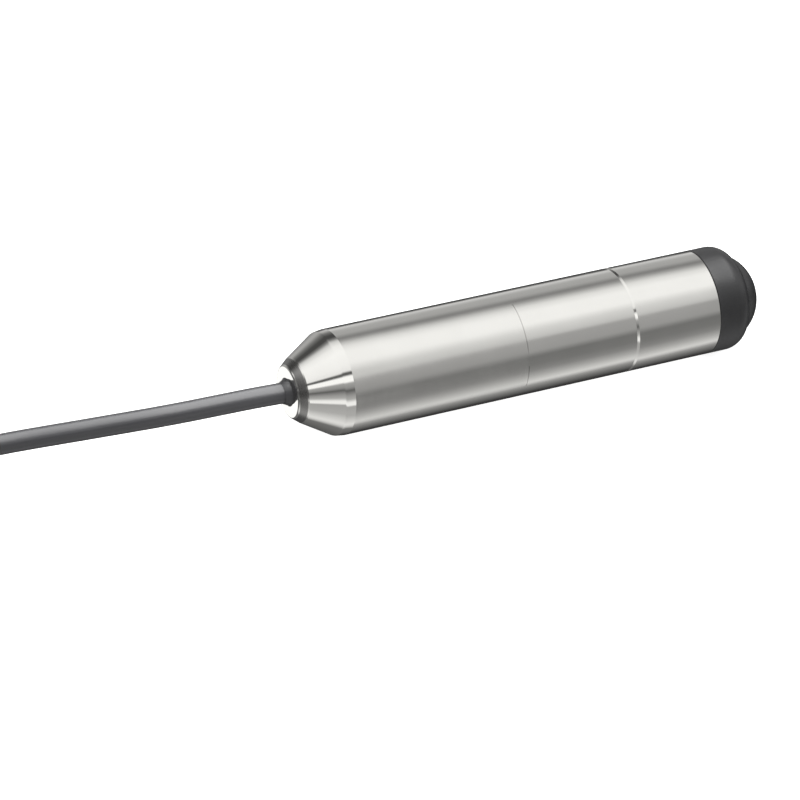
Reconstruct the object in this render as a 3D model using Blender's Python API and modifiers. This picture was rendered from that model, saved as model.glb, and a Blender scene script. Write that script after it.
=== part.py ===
"""Submersible level transmitter: a turned steel probe with a push-on nose cap, lying on a flat surface,
and its vented cable, which runs out to the left and is wound into a tied oval hank.

Units are metres, +Z up. The probe lies along X: the cable leaves its cone towards -X, and the measuring
cell faces +X under the cap. The origin is under the middle of the probe, on the surface that it lies on.
Distances along the probe are counted from the flat front of the cone, and are called stations here.
"""

import math

import bmesh
import bpy
from mathutils import Matrix, Vector

# Driving sizes, in metres
CLEAR = 0.0003  # play between neighbouring pieces
BODY_DIAMETER = 0.0270
CONE_LENGTH = 0.0102
CONE_END_DIAMETER = 0.0132
FRONT_CHAMFER = 0.0018  # the bevel between the cone and its flat front
CONE_BLEND = 0.0084  # a wide round shoulder between the cone and the tube
TUBE_LENGTH = 0.0807  # from the cone to the joint with the sensor head
HEAD_LENGTH = 0.0244  # from that joint to the cap
EDGE_BREAK = 0.0002
TUBE_WALL = 0.0019
JOINT_CHAMFER_LENGTH = 0.0007  # the head's shallow bevel at the joint with the tube
JOINT_CHAMFER_DEPTH = 0.00033

CABLE_DIAMETER = 0.0053
COLLAR_WALL = 0.00065
MOUTH_DEPTH = 0.0024
COLLAR_LIP = 0.0012  # how far the rubber collar stands out of the cone
THROAT_LENGTH = 0.0026
SEAL_WALL = 0.00325
WASHER_THICKNESS = 0.0010
SEAL_LENGTH = 0.0060
SEAL_NOSE = 0.0020  # length of the seal's tapered nose
GLAND_THREAD_LENGTH = 0.0050
GLAND_HEX_LENGTH = 0.0030
GLAND_HEX_FLATS = 0.0160
CRIMP_LENGTH = 0.0040
CRIMP_WALL = 0.0012
JACKET_STRIP = 0.0030  # jacket left behind the crimp ring

BOARD_THICKNESS = 0.0016
BOARD_WIDTH = 0.0180
BOARD_FROM_JACKET = 0.0065
BOARD_FROM_HEAD = 0.0045
BOARD_CORNER = 0.0010
HOLDER_THICKNESS = 0.0030
HOLDER_INSET = 0.0015
HOLDER_WINDOW_WIDTH = 0.0104
HOLDER_WINDOW_HEIGHT = 0.0064

SPIGOT_REAR_LENGTH = 0.0085  # the sensor head's end inside the tube
SOCKET_WALL = 0.0012
HEAD_SEAL_CORD = 0.0012
HEAD_SEAL_FROM_JOINT = 0.0045
SPIGOT_FRONT_LENGTH = 0.0080  # the sensor head's end under the cap
GROOVE_WALL = 0.0012  # steel left between the O-ring groove and the cell's pocket
CELL_THICKNESS = 0.0055
DIAPHRAGM_THICKNESS = 0.00055
PORT_DIAMETER = 0.0130
LIP_THICKNESS = 0.0020
CELL_SEAL_CORD = 0.0016
SUPPORT_RING_THICKNESS = 0.0015
RETAINING_RING_THICKNESS = 0.0030
RING_WALL = 0.0028
SPANNER_HOLE_DIAMETER = 0.0013
RIBBON_WIDTH = 0.0050
RIBBON_THICKNESS = 0.0005
RIBBON_OVER_BOARD = 0.0060

CAP_WALL = 0.0018
CAP_BAND_LENGTH = 0.0055  # straight part of the cap
CAP_SHOULDER_RADIUS = 0.0050
CAP_LENGTH = 0.0163
CAP_NOSE_STEP = 0.00195  # how far the dome lies inside the band
CAP_NOSE_WALL = 0.0020
CAP_INLET_DIAMETER = 0.0040
CAP_SIDE_INLET_DIAMETER = 0.0024
CAP_SIDE_INLET_CIRCLE = 0.0130
CAP_SIDE_INLETS = 6
CAP_RING_CORD = 0.0009
CAP_RING_FROM_JOINT = 0.0036

CORE_DIAMETER = 0.0012
VENT_DIAMETER = 0.0015
FERRULE_LENGTH = 0.0080
FERRULE_COLLAR_DIAMETER = 0.0024
SLEEVE_LENGTH = 0.0120
SLEEVE_WALL = 0.0004
CORE_LENGTH = 0.0215
FILTER_DIAMETER = 0.0048
FILTER_LENGTH = 0.0070
VENT_LENGTH = 0.0185
VENT_ASIDE = 0.0060  # how far the vent tube bends to the side

HANK_RUN = 0.0890  # length of the straight runs
HANK_HEIGHT = 0.0291
HANK_BEND = 0.0160  # radius of the innermost turn
TURN_PITCH = 0.0055
TURNS_ACROSS = 3
TIE_THICKNESS = 0.0008
TIE_WIDTH = 0.0036
TIE_HEAD = 0.0050

ROUND = 48  # sides of the large turned pieces
SMALL_ROUND = 28
TINY_ROUND = 16

# Stations along the probe, all from the sizes above
R = BODY_DIAMETER / 2
CABLE_R = CABLE_DIAMETER / 2
BORE_R = R - TUBE_WALL
S_CONE = CONE_LENGTH
S_JOINT = S_CONE + TUBE_LENGTH
S_CAP = S_JOINT + HEAD_LENGTH
S_TIP = S_CAP + CAP_LENGTH
S_GLAND = MOUTH_DEPTH + THROAT_LENGTH
S_WASHER_A = S_GLAND + CLEAR
S_SEAL = S_WASHER_A + WASHER_THICKNESS + CLEAR
S_WASHER_B = S_SEAL + SEAL_LENGTH + CLEAR
S_SCREW = S_WASHER_B + WASHER_THICKNESS + CLEAR
S_BORE = S_SCREW + GLAND_THREAD_LENGTH - CLEAR
S_HEX = S_SCREW + GLAND_THREAD_LENGTH
S_CRIMP = S_HEX + GLAND_HEX_LENGTH + CLEAR
S_JACKET_END = S_CRIMP + CRIMP_LENGTH + JACKET_STRIP
S_HEAD_REAR = S_JOINT - SPIGOT_REAR_LENGTH
S_BOARD = S_JACKET_END + BOARD_FROM_JACKET
S_BOARD_END = S_HEAD_REAR - BOARD_FROM_HEAD
S_SPIGOT = S_CAP + SPIGOT_FRONT_LENGTH
S_LIP = S_SPIGOT - LIP_THICKNESS
S_DIAPHRAGM = S_LIP - CELL_SEAL_CORD - 2 * CLEAR - DIAPHRAGM_THICKNESS
S_CELL = S_DIAPHRAGM - CLEAR - CELL_THICKNESS
S_SUPPORT = S_CELL - CLEAR - SUPPORT_RING_THICKNESS
S_RETAINER = S_SUPPORT - CLEAR - RETAINING_RING_THICKNESS
SOCKET_R = R - SOCKET_WALL
SPIGOT_REAR_R = SOCKET_R - CLEAR
POCKET_R = SPIGOT_REAR_R - HEAD_SEAL_CORD - CLEAR - GROOVE_WALL
CELL_R = POCKET_R - CLEAR
RING_BORE_R = CELL_R - RING_WALL
MOUTH_R = CABLE_R + CLEAR + COLLAR_WALL + CLEAR
GLAND_BORE_R = CABLE_R + CLEAR + SEAL_WALL + CLEAR
SPIGOT_FRONT_R = R - CAP_WALL - CLEAR
X_START = -(S_TIP - COLLAR_LIP) / 2  # world X of the cone's front

# The cable's way over the surface, from the cone's mouth: X and Y from the mouth, and height over the surface
ROUTE = (
    (0.0, 0.0, R),
    (-0.0089, 0.0010, R - 0.0002),
    (-0.0287, 0.0050, R - 0.0020),
    (-0.0472, 0.0115, R - 0.0047),
    (-0.0658, 0.0185, R - 0.0076),
    (-0.0762, 0.0214, R - 0.0090),
)
HANK_CENTRE = (-0.1590, -0.0045)  # from the cone's mouth
HANK_RISE = TIE_THICKNESS + 2 * CLEAR
HANK_MIDDLE_R = HANK_BEND + TURN_PITCH * (TURNS_ACROSS - 1) / 2  # radius of the round ends, mid-way across
HANK_HALF = TURN_PITCH * (TURNS_ACROSS - 1) / 2 + CABLE_R  # half the width of one side
OUTER_TURN_R = HANK_BEND + TURN_PITCH * (TURNS_ACROSS - 1)
HANK_TOP = HANK_RISE + HANK_HEIGHT
TIE_PLACES = (("coil_tie_near", 0.0335, -90.0, False), ("coil_tie_far", -0.0180, 90.0, True))
END_FROM_CENTRE = (-0.0080, 0.0010)  # the jacket's end: along the run, and aside from its middle
END_START = 0.0340  # where the last half turn starts to lie on top, along the run
END_RISE = CABLE_R + CLEAR + SLEEVE_WALL + 0.0001


def wipe_scene():
    for old in list(bpy.data.objects):
        bpy.data.objects.remove(old, do_unlink=True)


def new_collection(name):
    group = bpy.data.collections.new(name)
    bpy.context.scene.collection.children.link(group)
    return group


def material(name, colour, roughness, metallic=0.0):
    made = bpy.data.materials.new(name)
    made.use_nodes = True
    shader = made.node_tree.nodes["Principled BSDF"]
    shader.inputs["Base Color"].default_value = (*colour, 1.0)
    shader.inputs["Roughness"].default_value = roughness
    shader.inputs["Metallic"].default_value = metallic
    made.diffuse_color = (*colour, 1.0)
    return made


def put(obj, group, parent, place, look=None, turn=(0.0, 0.0, 0.0)):
    """Links an object into its collection at a place under its parent, and gives it its material."""
    for old in list(obj.users_collection):
        old.objects.unlink(obj)
    group.objects.link(obj)
    obj.parent = parent
    obj.location = place
    obj.rotation_euler = turn
    if look is not None:
        obj.data.materials.clear()
        obj.data.materials.append(look)
    return obj


def empty(name, group, parent, place):
    made = bpy.data.objects.new(name, None)
    made.empty_display_size = 0.01
    group.objects.link(made)
    made.parent = parent
    made.location = place
    return made


def arc(centre_r, centre_s, radius, start, end, steps):
    """Points of a fillet in a profile, angles in degrees from the outward direction towards +s."""
    return [
        (
            centre_r + radius * math.cos(math.radians(start + (end - start) * k / steps)),
            centre_s + radius * math.sin(math.radians(start + (end - start) * k / steps)),
        )
        for k in range(steps + 1)
    ]


def turned(name, profile, steps, closed=True):
    """A profile of (radius, station) points, spun about the station axis.

    The outer side comes first and runs from the high station to the low one. A closed profile is a ring's
    section, and an open one starts and ends on the axis.
    """
    mesh = bpy.data.meshes.new(name)
    edges = [(k, k + 1) for k in range(len(profile) - 1)]
    if closed:
        edges.append((len(profile) - 1, 0))
    mesh.from_pydata([(r, 0.0, s) for r, s in profile], edges, [])
    obj = bpy.data.objects.new(name, mesh)
    spin = obj.modifiers.new("Spin", "SCREW")
    spin.axis = "Z"
    spin.steps = spin.render_steps = steps
    spin.use_merge_vertices = True
    spin.merge_threshold = 0.000001
    spin.use_smooth_shade = True
    return obj


def tube_profile(outer, inner, start, end, chamfer=0.0):
    """The section of a plain ring or sleeve, with its outer edges broken."""
    c = chamfer
    points = [(outer - c, end), (outer, end - c), (outer, start + c), (outer - c, start)]
    if not c:
        points = [(outer, end), (outer, start)]
    return points + [(inner, start), (inner, end)]


def cord_ring_profile(major, minor, station, sides=12):
    """The round section of an O-ring."""
    return [
        (
            major + minor * math.cos(2 * math.pi * k / sides),
            station - minor * math.sin(2 * math.pi * k / sides),
        )
        for k in range(sides)
    ]


def block(name, size, bevel=0.0, segments=1):
    """A box of that size centred on its own origin, with broken edges."""
    mesh = bpy.data.meshes.new(name)
    shape = bmesh.new()
    bmesh.ops.create_cube(shape, size=1.0, matrix=Matrix.Diagonal((*size, 1.0)))
    shape.to_mesh(mesh)
    shape.free()
    obj = bpy.data.objects.new(name, mesh)
    if bevel:
        edge = obj.modifiers.new("Broken edges", "BEVEL")
        edge.width = bevel
        edge.segments = segments
        edge.limit_method = "ANGLE"
    return obj


def rod(name, radius, length, sides, along="X"):
    """A cylinder centred on its own origin, along one axis."""
    mesh = bpy.data.meshes.new(name)
    shape = bmesh.new()
    turn = {"X": Matrix.Rotation(math.pi / 2, 4, "Y"), "Y": Matrix.Rotation(math.pi / 2, 4, "X")}
    bmesh.ops.create_cone(
        shape,
        cap_ends=True,
        segments=sides,
        radius1=radius,
        radius2=radius,
        depth=length,
        matrix=turn.get(along, Matrix.Identity(4)),
    )
    shape.to_mesh(mesh)
    shape.free()
    mesh.shade_smooth()
    mesh.set_sharp_from_angle(angle=math.radians(40))
    return bpy.data.objects.new(name, mesh)


def helper(obj):
    obj.hide_render = True
    obj.display_type = "WIRE"
    return obj


def combine(obj, other, operation):
    change = obj.modifiers.new(operation.title() + " " + other.name, "BOOLEAN")
    change.operation = operation
    change.solver = "EXACT"
    change.object = other


def smooth_line(points, gap):
    """Points about every gap along a smooth curve through the given ones (centripetal Catmull-Rom)."""
    knots = [Vector(p) for p in points]
    knots = [2 * knots[0] - knots[1]] + knots + [2 * knots[-1] - knots[-2]]
    line = []
    for i in range(1, len(knots) - 2):
        p0, p1, p2, p3 = knots[i - 1 : i + 3]
        t0 = 0.0
        t1 = t0 + math.sqrt((p1 - p0).length)
        t2 = t1 + math.sqrt((p2 - p1).length)
        t3 = t2 + math.sqrt((p3 - p2).length)
        count = max(1, round((p2 - p1).length / gap))
        for k in range(count):
            t = t1 + (t2 - t1) * k / count
            a1 = p0 * ((t1 - t) / (t1 - t0)) + p1 * ((t - t0) / (t1 - t0))
            a2 = p1 * ((t2 - t) / (t2 - t1)) + p2 * ((t - t1) / (t2 - t1))
            a3 = p2 * ((t3 - t) / (t3 - t2)) + p3 * ((t - t2) / (t3 - t2))
            b1 = a1 * ((t2 - t) / (t2 - t0)) + a2 * ((t - t0) / (t2 - t0))
            b2 = a2 * ((t3 - t) / (t3 - t1)) + a3 * ((t - t1) / (t3 - t1))
            line.append(b1 * ((t2 - t) / (t2 - t1)) + b2 * ((t - t1) / (t2 - t1)))
    return line + [knots[-2]]


def round_line(name, points, radius, resolution=2):
    """A tube along points: a poly spline with a round bevel and filled ends."""
    data = bpy.data.curves.new(name, "CURVE")
    data.dimensions = "3D"
    data.bevel_depth = radius
    data.bevel_resolution = resolution
    data.use_fill_caps = True
    spline = data.splines.new("POLY")
    spline.points.add(len(points) - 1)
    for spot, p in zip(spline.points, points):
        spot.co = (*p, 1.0)
    spline.use_smooth = True
    return bpy.data.objects.new(name, data)


def flat_loop(name, outlines, thickness):
    """Closed outlines in the local XY plane, the later ones being holes, filled and given a thickness."""
    data = bpy.data.curves.new(name, "CURVE")
    data.dimensions = "2D"
    data.fill_mode = "BOTH"
    data.extrude = thickness / 2
    for outline in outlines:
        spline = data.splines.new("POLY")
        spline.points.add(len(outline) - 1)
        for spot, (x, y) in zip(spline.points, outline):
            spot.co = (x, y, 0.0, 1.0)
        spline.use_cyclic_u = True
    return bpy.data.objects.new(name, data)


AXIAL = (0.0, math.pi / 2, 0.0)  # turns a piece's own Z onto the probe's axis


# The steel body

def build_housing(group, probe, steel):
    """Cone and tube in one piece: mouth, throat, gland bore, main bore and the socket for the sensor head."""
    c = EDGE_BREAK
    front_r = CONE_END_DIAMETER / 2
    slope = math.atan2(R - front_r - FRONT_CHAMFER, CONE_LENGTH - FRONT_CHAMFER)
    t = CONE_BLEND / math.tan((math.pi - slope) / 2)
    corner = arc(R - CONE_BLEND, S_CONE + t, CONE_BLEND, 0, -math.degrees(slope), 6)
    outer = [(R - c, S_JOINT), (R, S_JOINT - c)] + corner
    outer += [(front_r + FRONT_CHAMFER, FRONT_CHAMFER), (front_r, 0.0)]
    inner = [
        (MOUTH_R, 0.0),
        (MOUTH_R, MOUTH_DEPTH),
        (CABLE_R + CLEAR, MOUTH_DEPTH),
        (CABLE_R + CLEAR, S_GLAND),
        (GLAND_BORE_R, S_GLAND),
        (GLAND_BORE_R, S_BORE),
        (BORE_R, S_BORE),
        (BORE_R, S_HEAD_REAR - 2 * CLEAR),
        (SOCKET_R, S_HEAD_REAR - CLEAR),
        (SOCKET_R, S_JOINT),
    ]
    body = turned("housing_tube", outer + inner, ROUND)
    put(body, group, probe, (0, 0, 0), steel, AXIAL)


def build_sensor_head(group, probe, steel):
    """The steel head: spigot into the tube with its O-ring groove, cylinder, spigot for the cap with its ring
    groove, the pocket for the measuring cell and the lip round the pressure port."""
    c = EDGE_BREAK
    seal_r = SPIGOT_REAR_R - HEAD_SEAL_CORD
    seal_s = S_JOINT - HEAD_SEAL_FROM_JOINT
    half = HEAD_SEAL_CORD / 2 + CLEAR
    ring_r = SPIGOT_FRONT_R - CAP_RING_CORD
    ring_s = S_CAP + CAP_RING_FROM_JOINT
    ring_half = CAP_RING_CORD / 2 + CLEAR
    outer = [
        (SPIGOT_FRONT_R - c, S_SPIGOT),
        (SPIGOT_FRONT_R, S_SPIGOT - c),
        (SPIGOT_FRONT_R, ring_s + ring_half),
        (ring_r - CLEAR, ring_s + ring_half),
        (ring_r - CLEAR, ring_s - ring_half),
        (SPIGOT_FRONT_R, ring_s - ring_half),
        (SPIGOT_FRONT_R, S_CAP),
        (R - c / 2, S_CAP),
        (R, S_CAP - c / 2),
        (R, S_JOINT + CLEAR + JOINT_CHAMFER_LENGTH),
        (R - JOINT_CHAMFER_DEPTH, S_JOINT + CLEAR),
        (SPIGOT_REAR_R, S_JOINT + CLEAR),
        (SPIGOT_REAR_R, seal_s + half),
        (seal_r - CLEAR, seal_s + half),
        (seal_r - CLEAR, seal_s - half),
        (SPIGOT_REAR_R, seal_s - half),
        (SPIGOT_REAR_R, S_HEAD_REAR + c),
        (SPIGOT_REAR_R - c, S_HEAD_REAR),
    ]
    inner = [
        (POCKET_R, S_HEAD_REAR),
        (POCKET_R, S_LIP),
        (PORT_DIAMETER / 2, S_LIP),
        (PORT_DIAMETER / 2, S_SPIGOT),
    ]
    put(turned("sensor_head", outer + inner, ROUND), group, probe, (0, 0, 0), steel, AXIAL)


def build_head_seals(group, probe, rubber):
    minor = HEAD_SEAL_CORD / 2
    ring = turned(
        "head_o_ring",
        cord_ring_profile(SPIGOT_REAR_R - minor - CLEAR / 2, minor, S_JOINT - HEAD_SEAL_FROM_JOINT, 8),
        SMALL_ROUND,
    )
    put(ring, group, probe, (0, 0, 0), rubber, AXIAL)
    minor = CAP_RING_CORD / 2
    ring = turned(
        "cap_retention_ring",
        cord_ring_profile(SPIGOT_FRONT_R - minor, minor, S_CAP + CAP_RING_FROM_JOINT, 8),
        SMALL_ROUND,
    )
    put(ring, group, probe, (0, 0, 0), rubber, AXIAL)


# The measuring cell and what holds it

def build_cell(group, probe, looks, cutters):
    body = turned(
        "measuring_cell",
        [(0.0, S_CELL + CELL_THICKNESS), (CELL_R, S_CELL + CELL_THICKNESS), (CELL_R, S_CELL), (0.0, S_CELL)],
        SMALL_ROUND,
        closed=False,
    )
    put(body, group, probe, (0, 0, 0), looks["ceramic"], AXIAL)
    front = S_DIAPHRAGM + DIAPHRAGM_THICKNESS
    skin = turned(
        "cell_diaphragm",
        [(0.0, front), (CELL_R, front), (CELL_R, S_DIAPHRAGM), (0.0, S_DIAPHRAGM)],
        SMALL_ROUND,
        closed=False,
    )
    put(skin, group, probe, (0, 0, 0), looks["ceramic"], AXIAL)
    minor = CELL_SEAL_CORD / 2
    seal = turned(
        "cell_o_ring",
        cord_ring_profile(CELL_R - minor, minor, S_LIP - CLEAR - minor, 8),
        SMALL_ROUND,
    )
    put(seal, group, probe, (0, 0, 0), looks["rubber"], AXIAL)
    support = turned(
        "cell_support_ring",
        tube_profile(CELL_R, RING_BORE_R, S_SUPPORT, S_SUPPORT + SUPPORT_RING_THICKNESS),
        SMALL_ROUND,
    )
    put(support, group, probe, (0, 0, 0), looks["white plastic"], AXIAL)
    retainer = turned(
        "cell_retaining_ring",
        tube_profile(
            POCKET_R - CLEAR,
            RING_BORE_R,
            S_RETAINER,
            S_RETAINER + RETAINING_RING_THICKNESS,
            EDGE_BREAK,
        ),
        SMALL_ROUND,
    )
    put(retainer, group, probe, (0, 0, 0), looks["steel"], AXIAL)
    middle = (POCKET_R - CLEAR + RING_BORE_R) / 2
    for side, sign in (("left", -1), ("right", 1)):
        hole = rod("spanner_hole_" + side, SPANNER_HOLE_DIAMETER / 2, RETAINING_RING_THICKNESS, 12)
        put(helper(hole), cutters, probe, (S_RETAINER, sign * middle, 0))
        combine(retainer, hole, "DIFFERENCE")


# The electronics

def board_z(height):
    """Height of the middle of a piece of that height standing on the board."""
    return BOARD_THICKNESS / 2 + CLEAR + height / 2


def build_board(group, probe, looks, cutters):
    length = S_BOARD_END - S_BOARD
    board = block("main_board", (length, BOARD_WIDTH, BOARD_THICKNESS))
    edge = board.modifiers.new("Corners", "BEVEL")
    edge.width = BOARD_CORNER
    edge.segments = 2
    edge.limit_method = "WEIGHT"
    weights = board.data.attributes.new("bevel_weight_edge", "FLOAT", "EDGE")
    for k, line in enumerate(board.data.edges):
        a, b = (board.data.vertices[i].co for i in line.vertices)
        weights.data[k].value = 1.0 if abs(a.z - b.z) > BOARD_THICKNESS / 2 else 0.0
    put(board, group, probe, ((S_BOARD + S_BOARD_END) / 2, 0, 0), looks["board green"])

    slot = block("board_slot", (length, BOARD_WIDTH + 2 * CLEAR, BOARD_THICKNESS + 2 * CLEAR))
    put(helper(slot), cutters, probe, ((S_BOARD + S_BOARD_END) / 2, 0, 0))
    window = block("holder_window", (length, HOLDER_WINDOW_WIDTH, HOLDER_WINDOW_HEIGHT))
    put(helper(window), cutters, probe, ((S_BOARD + S_BOARD_END) / 2, 0, HOLDER_WINDOW_HEIGHT / 2))
    starts = {
        "board_holder_cable_end": S_BOARD + HOLDER_INSET,
        "board_holder_cell_end": S_BOARD_END - HOLDER_INSET - HOLDER_THICKNESS,
    }
    for name, start in starts.items():
        disc = rod(name, BORE_R - CLEAR, HOLDER_THICKNESS, 40)
        put(disc, group, probe, (start + HOLDER_THICKNESS / 2, 0, 0), looks["white plastic"])
        combine(disc, slot, "DIFFERENCE")
        combine(disc, window, "DIFFERENCE")


TERMINAL_SIZE = (0.0080, 0.0116, 0.0070)
TERMINAL_FROM_BOARD_END = 0.0065
TERMINAL_PITCH = 0.0035
TERMINAL_HOLE_DEPTH = 0.0040
ARRESTER_DIAMETER = 0.0050
ARRESTER_LENGTH = 0.0060
DIODE_SIZE = (0.0044, 0.0032, 0.0022)
CHIP_SIZE = (0.0050, 0.0060, 0.0015)
AMPLIFIER_SIZE = (0.0040, 0.0050, 0.0013)
CAPACITOR_DIAMETER = 0.0050
CAPACITOR_HEIGHT = 0.0058
PART_SPACING = 0.0012
SIDE_LANE = (RIBBON_WIDTH + CHIP_SIZE[1]) / 2 + CLEAR  # the small parts' line, beside the ribbon's


def build_board_parts(group, probe, looks, cutters):
    x = S_BOARD + TERMINAL_FROM_BOARD_END + TERMINAL_SIZE[0] / 2
    terminal = block("terminal_block", TERMINAL_SIZE, 0.0004)
    put(terminal, group, probe, (x, 0, board_z(TERMINAL_SIZE[2])), looks["terminal green"])
    for k in (-1, 0, 1):
        hole = rod("terminal_hole_%d" % (k + 1), CORE_DIAMETER / 2 + CLEAR, 2 * TERMINAL_HOLE_DEPTH, 12)
        put(
            helper(hole),
            cutters,
            probe,
            (x - TERMINAL_SIZE[0] / 2, k * TERMINAL_PITCH, board_z(TERMINAL_SIZE[2])),
        )
        combine(terminal, hole, "DIFFERENCE")

    # The parts are spread evenly between the terminal and the cell's holder.
    x += TERMINAL_SIZE[0] / 2
    holder_x = S_BOARD_END - HOLDER_INSET - HOLDER_THICKNESS
    spacing = (holder_x - x - ARRESTER_LENGTH - CHIP_SIZE[0]) / 3
    x += spacing
    arrester = rod("surge_arrester", ARRESTER_DIAMETER / 2, ARRESTER_LENGTH, 16)
    place = (x + ARRESTER_LENGTH / 2, SIDE_LANE, board_z(ARRESTER_DIAMETER))
    put(arrester, group, probe, place, looks["white plastic"])
    diode = block("suppressor_diode", DIODE_SIZE, 0.0002)
    put(diode, group, probe, (x + DIODE_SIZE[0] / 2, -SIDE_LANE, board_z(DIODE_SIZE[2])), looks["chip black"])
    x += ARRESTER_LENGTH + spacing
    chip = block("converter_chip", CHIP_SIZE, 0.0002)
    put(chip, group, probe, (x + CHIP_SIZE[0] / 2, -SIDE_LANE, board_z(CHIP_SIZE[2])), looks["chip black"])
    capacitor = rod("filter_capacitor", CAPACITOR_DIAMETER / 2, CAPACITOR_HEIGHT, 20, "Z")
    place = (x + CAPACITOR_DIAMETER / 2, SIDE_LANE, board_z(CAPACITOR_HEIGHT))
    put(capacitor, group, probe, place, looks["can aluminium"])
    # The amplifier is on the board's other face, just before the cell's holder.
    x = holder_x - PART_SPACING
    amplifier = block("amplifier_chip", AMPLIFIER_SIZE, 0.0002)
    put(amplifier, group, probe, (x - AMPLIFIER_SIZE[0] / 2, 0, -board_z(AMPLIFIER_SIZE[2])), looks["chip black"])

    start = S_BOARD_END - RIBBON_OVER_BOARD
    end = S_CELL - CLEAR
    ribbon = block("cell_ribbon", (end - start, RIBBON_WIDTH, RIBBON_THICKNESS))
    put(ribbon, group, probe, ((start + end) / 2, 0, board_z(RIBBON_THICKNESS)), looks["ribbon amber"])


# Where the cable enters

def build_gland(group, probe, looks, cutters):
    hole = CABLE_R + CLEAR
    seat = GLAND_BORE_R - CLEAR
    flare = MOUTH_R - CLEAR
    collar = turned(
        "exit_collar",
        [
            (flare, MOUTH_DEPTH - CLEAR),
            (flare, -COLLAR_LIP + EDGE_BREAK),
            (flare - EDGE_BREAK, -COLLAR_LIP),
            (hole, -COLLAR_LIP),
            (hole, MOUTH_DEPTH - CLEAR),
        ],
        SMALL_ROUND,
    )
    put(collar, group, probe, (0, 0, 0), looks["rubber"], AXIAL)
    for name, start in (("gland_washer_front", S_WASHER_A), ("gland_washer_rear", S_WASHER_B)):
        washer = turned(name, tube_profile(seat, hole, start, start + WASHER_THICKNESS), SMALL_ROUND)
        put(washer, group, probe, (0, 0, 0), looks["brass"], AXIAL)
    seal = turned(
        "cable_seal",
        [
            (seat, S_SEAL + SEAL_LENGTH),
            (seat, S_SEAL + SEAL_NOSE),
            ((seat + hole) / 2, S_SEAL),
            (hole, S_SEAL),
            (hole, S_SEAL + SEAL_LENGTH),
        ],
        SMALL_ROUND,
    )
    put(seal, group, probe, (0, 0, 0), looks["rubber"], AXIAL)
    flat = GLAND_HEX_FLATS / 2 / math.cos(math.pi / 6)
    screw = rod("gland_screw", flat, GLAND_HEX_LENGTH, 6)
    put(screw, group, probe, (S_HEX + GLAND_HEX_LENGTH / 2, 0, 0), looks["brass"])
    thread = rod("gland_thread", seat, GLAND_THREAD_LENGTH + GLAND_HEX_LENGTH / 2, SMALL_ROUND)
    place = (S_SCREW + (GLAND_THREAD_LENGTH + GLAND_HEX_LENGTH / 2) / 2, 0, 0)
    put(helper(thread), cutters, probe, place)
    combine(screw, thread, "UNION")
    bore = rod("gland_hole", hole, 4 * (GLAND_THREAD_LENGTH + GLAND_HEX_LENGTH), SMALL_ROUND)
    put(helper(bore), cutters, probe, (S_HEX, 0, 0))
    combine(screw, bore, "DIFFERENCE")
    crimp = turned(
        "strain_relief_ring",
        tube_profile(hole + CRIMP_WALL, hole, S_CRIMP, S_CRIMP + CRIMP_LENGTH, 0.0003),
        SMALL_ROUND,
    )
    put(crimp, group, probe, (0, 0, 0), looks["steel"], AXIAL)
    tail = rod("cable_inside", CABLE_R, S_JACKET_END, 24)
    put(tail, group, probe, (S_JACKET_END / 2, 0, 0), looks["cable grey"])


CORE_SPREAD = 0.0013
VENT_STUB = 0.0042
CORES = (("supply", -1), ("screen", 0), ("signal", 1))


def core_place(side):
    """Where a core lies in the cable's section: Y and Z."""
    return (side * CORE_SPREAD, 0.0002 if side else 1.15 * CORE_SPREAD)


def build_inner_wires(group, probe, looks):
    entry = S_BOARD + TERMINAL_FROM_BOARD_END
    top = board_z(TERMINAL_SIZE[2])
    for name, side in CORES:
        y, z = core_place(side)
        wide = side * TERMINAL_PITCH
        points = [
            (S_JACKET_END + CLEAR, y, z),
            (S_JACKET_END + 0.0020, y, z),
            (S_JACKET_END + 0.0065, (y + wide) / 2, (z + top) / 2),
            (entry - 0.0030, wide, top),
            (entry, wide, top),
            (entry + TERMINAL_HOLE_DEPTH - CLEAR, wide, top),
        ]
        wire = round_line("wire_" + name, smooth_line(points, 0.0025), CORE_DIAMETER / 2)
        put(wire, group, probe, (0, 0, 0), looks["core " + name])
    vent = rod("vent_tube_inside", VENT_DIAMETER / 2, VENT_STUB, 12)
    put(vent, group, probe, (S_JACKET_END + CLEAR + VENT_STUB / 2, 0, -CORE_SPREAD), looks["clear plastic"])


# The push-on cap

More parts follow.
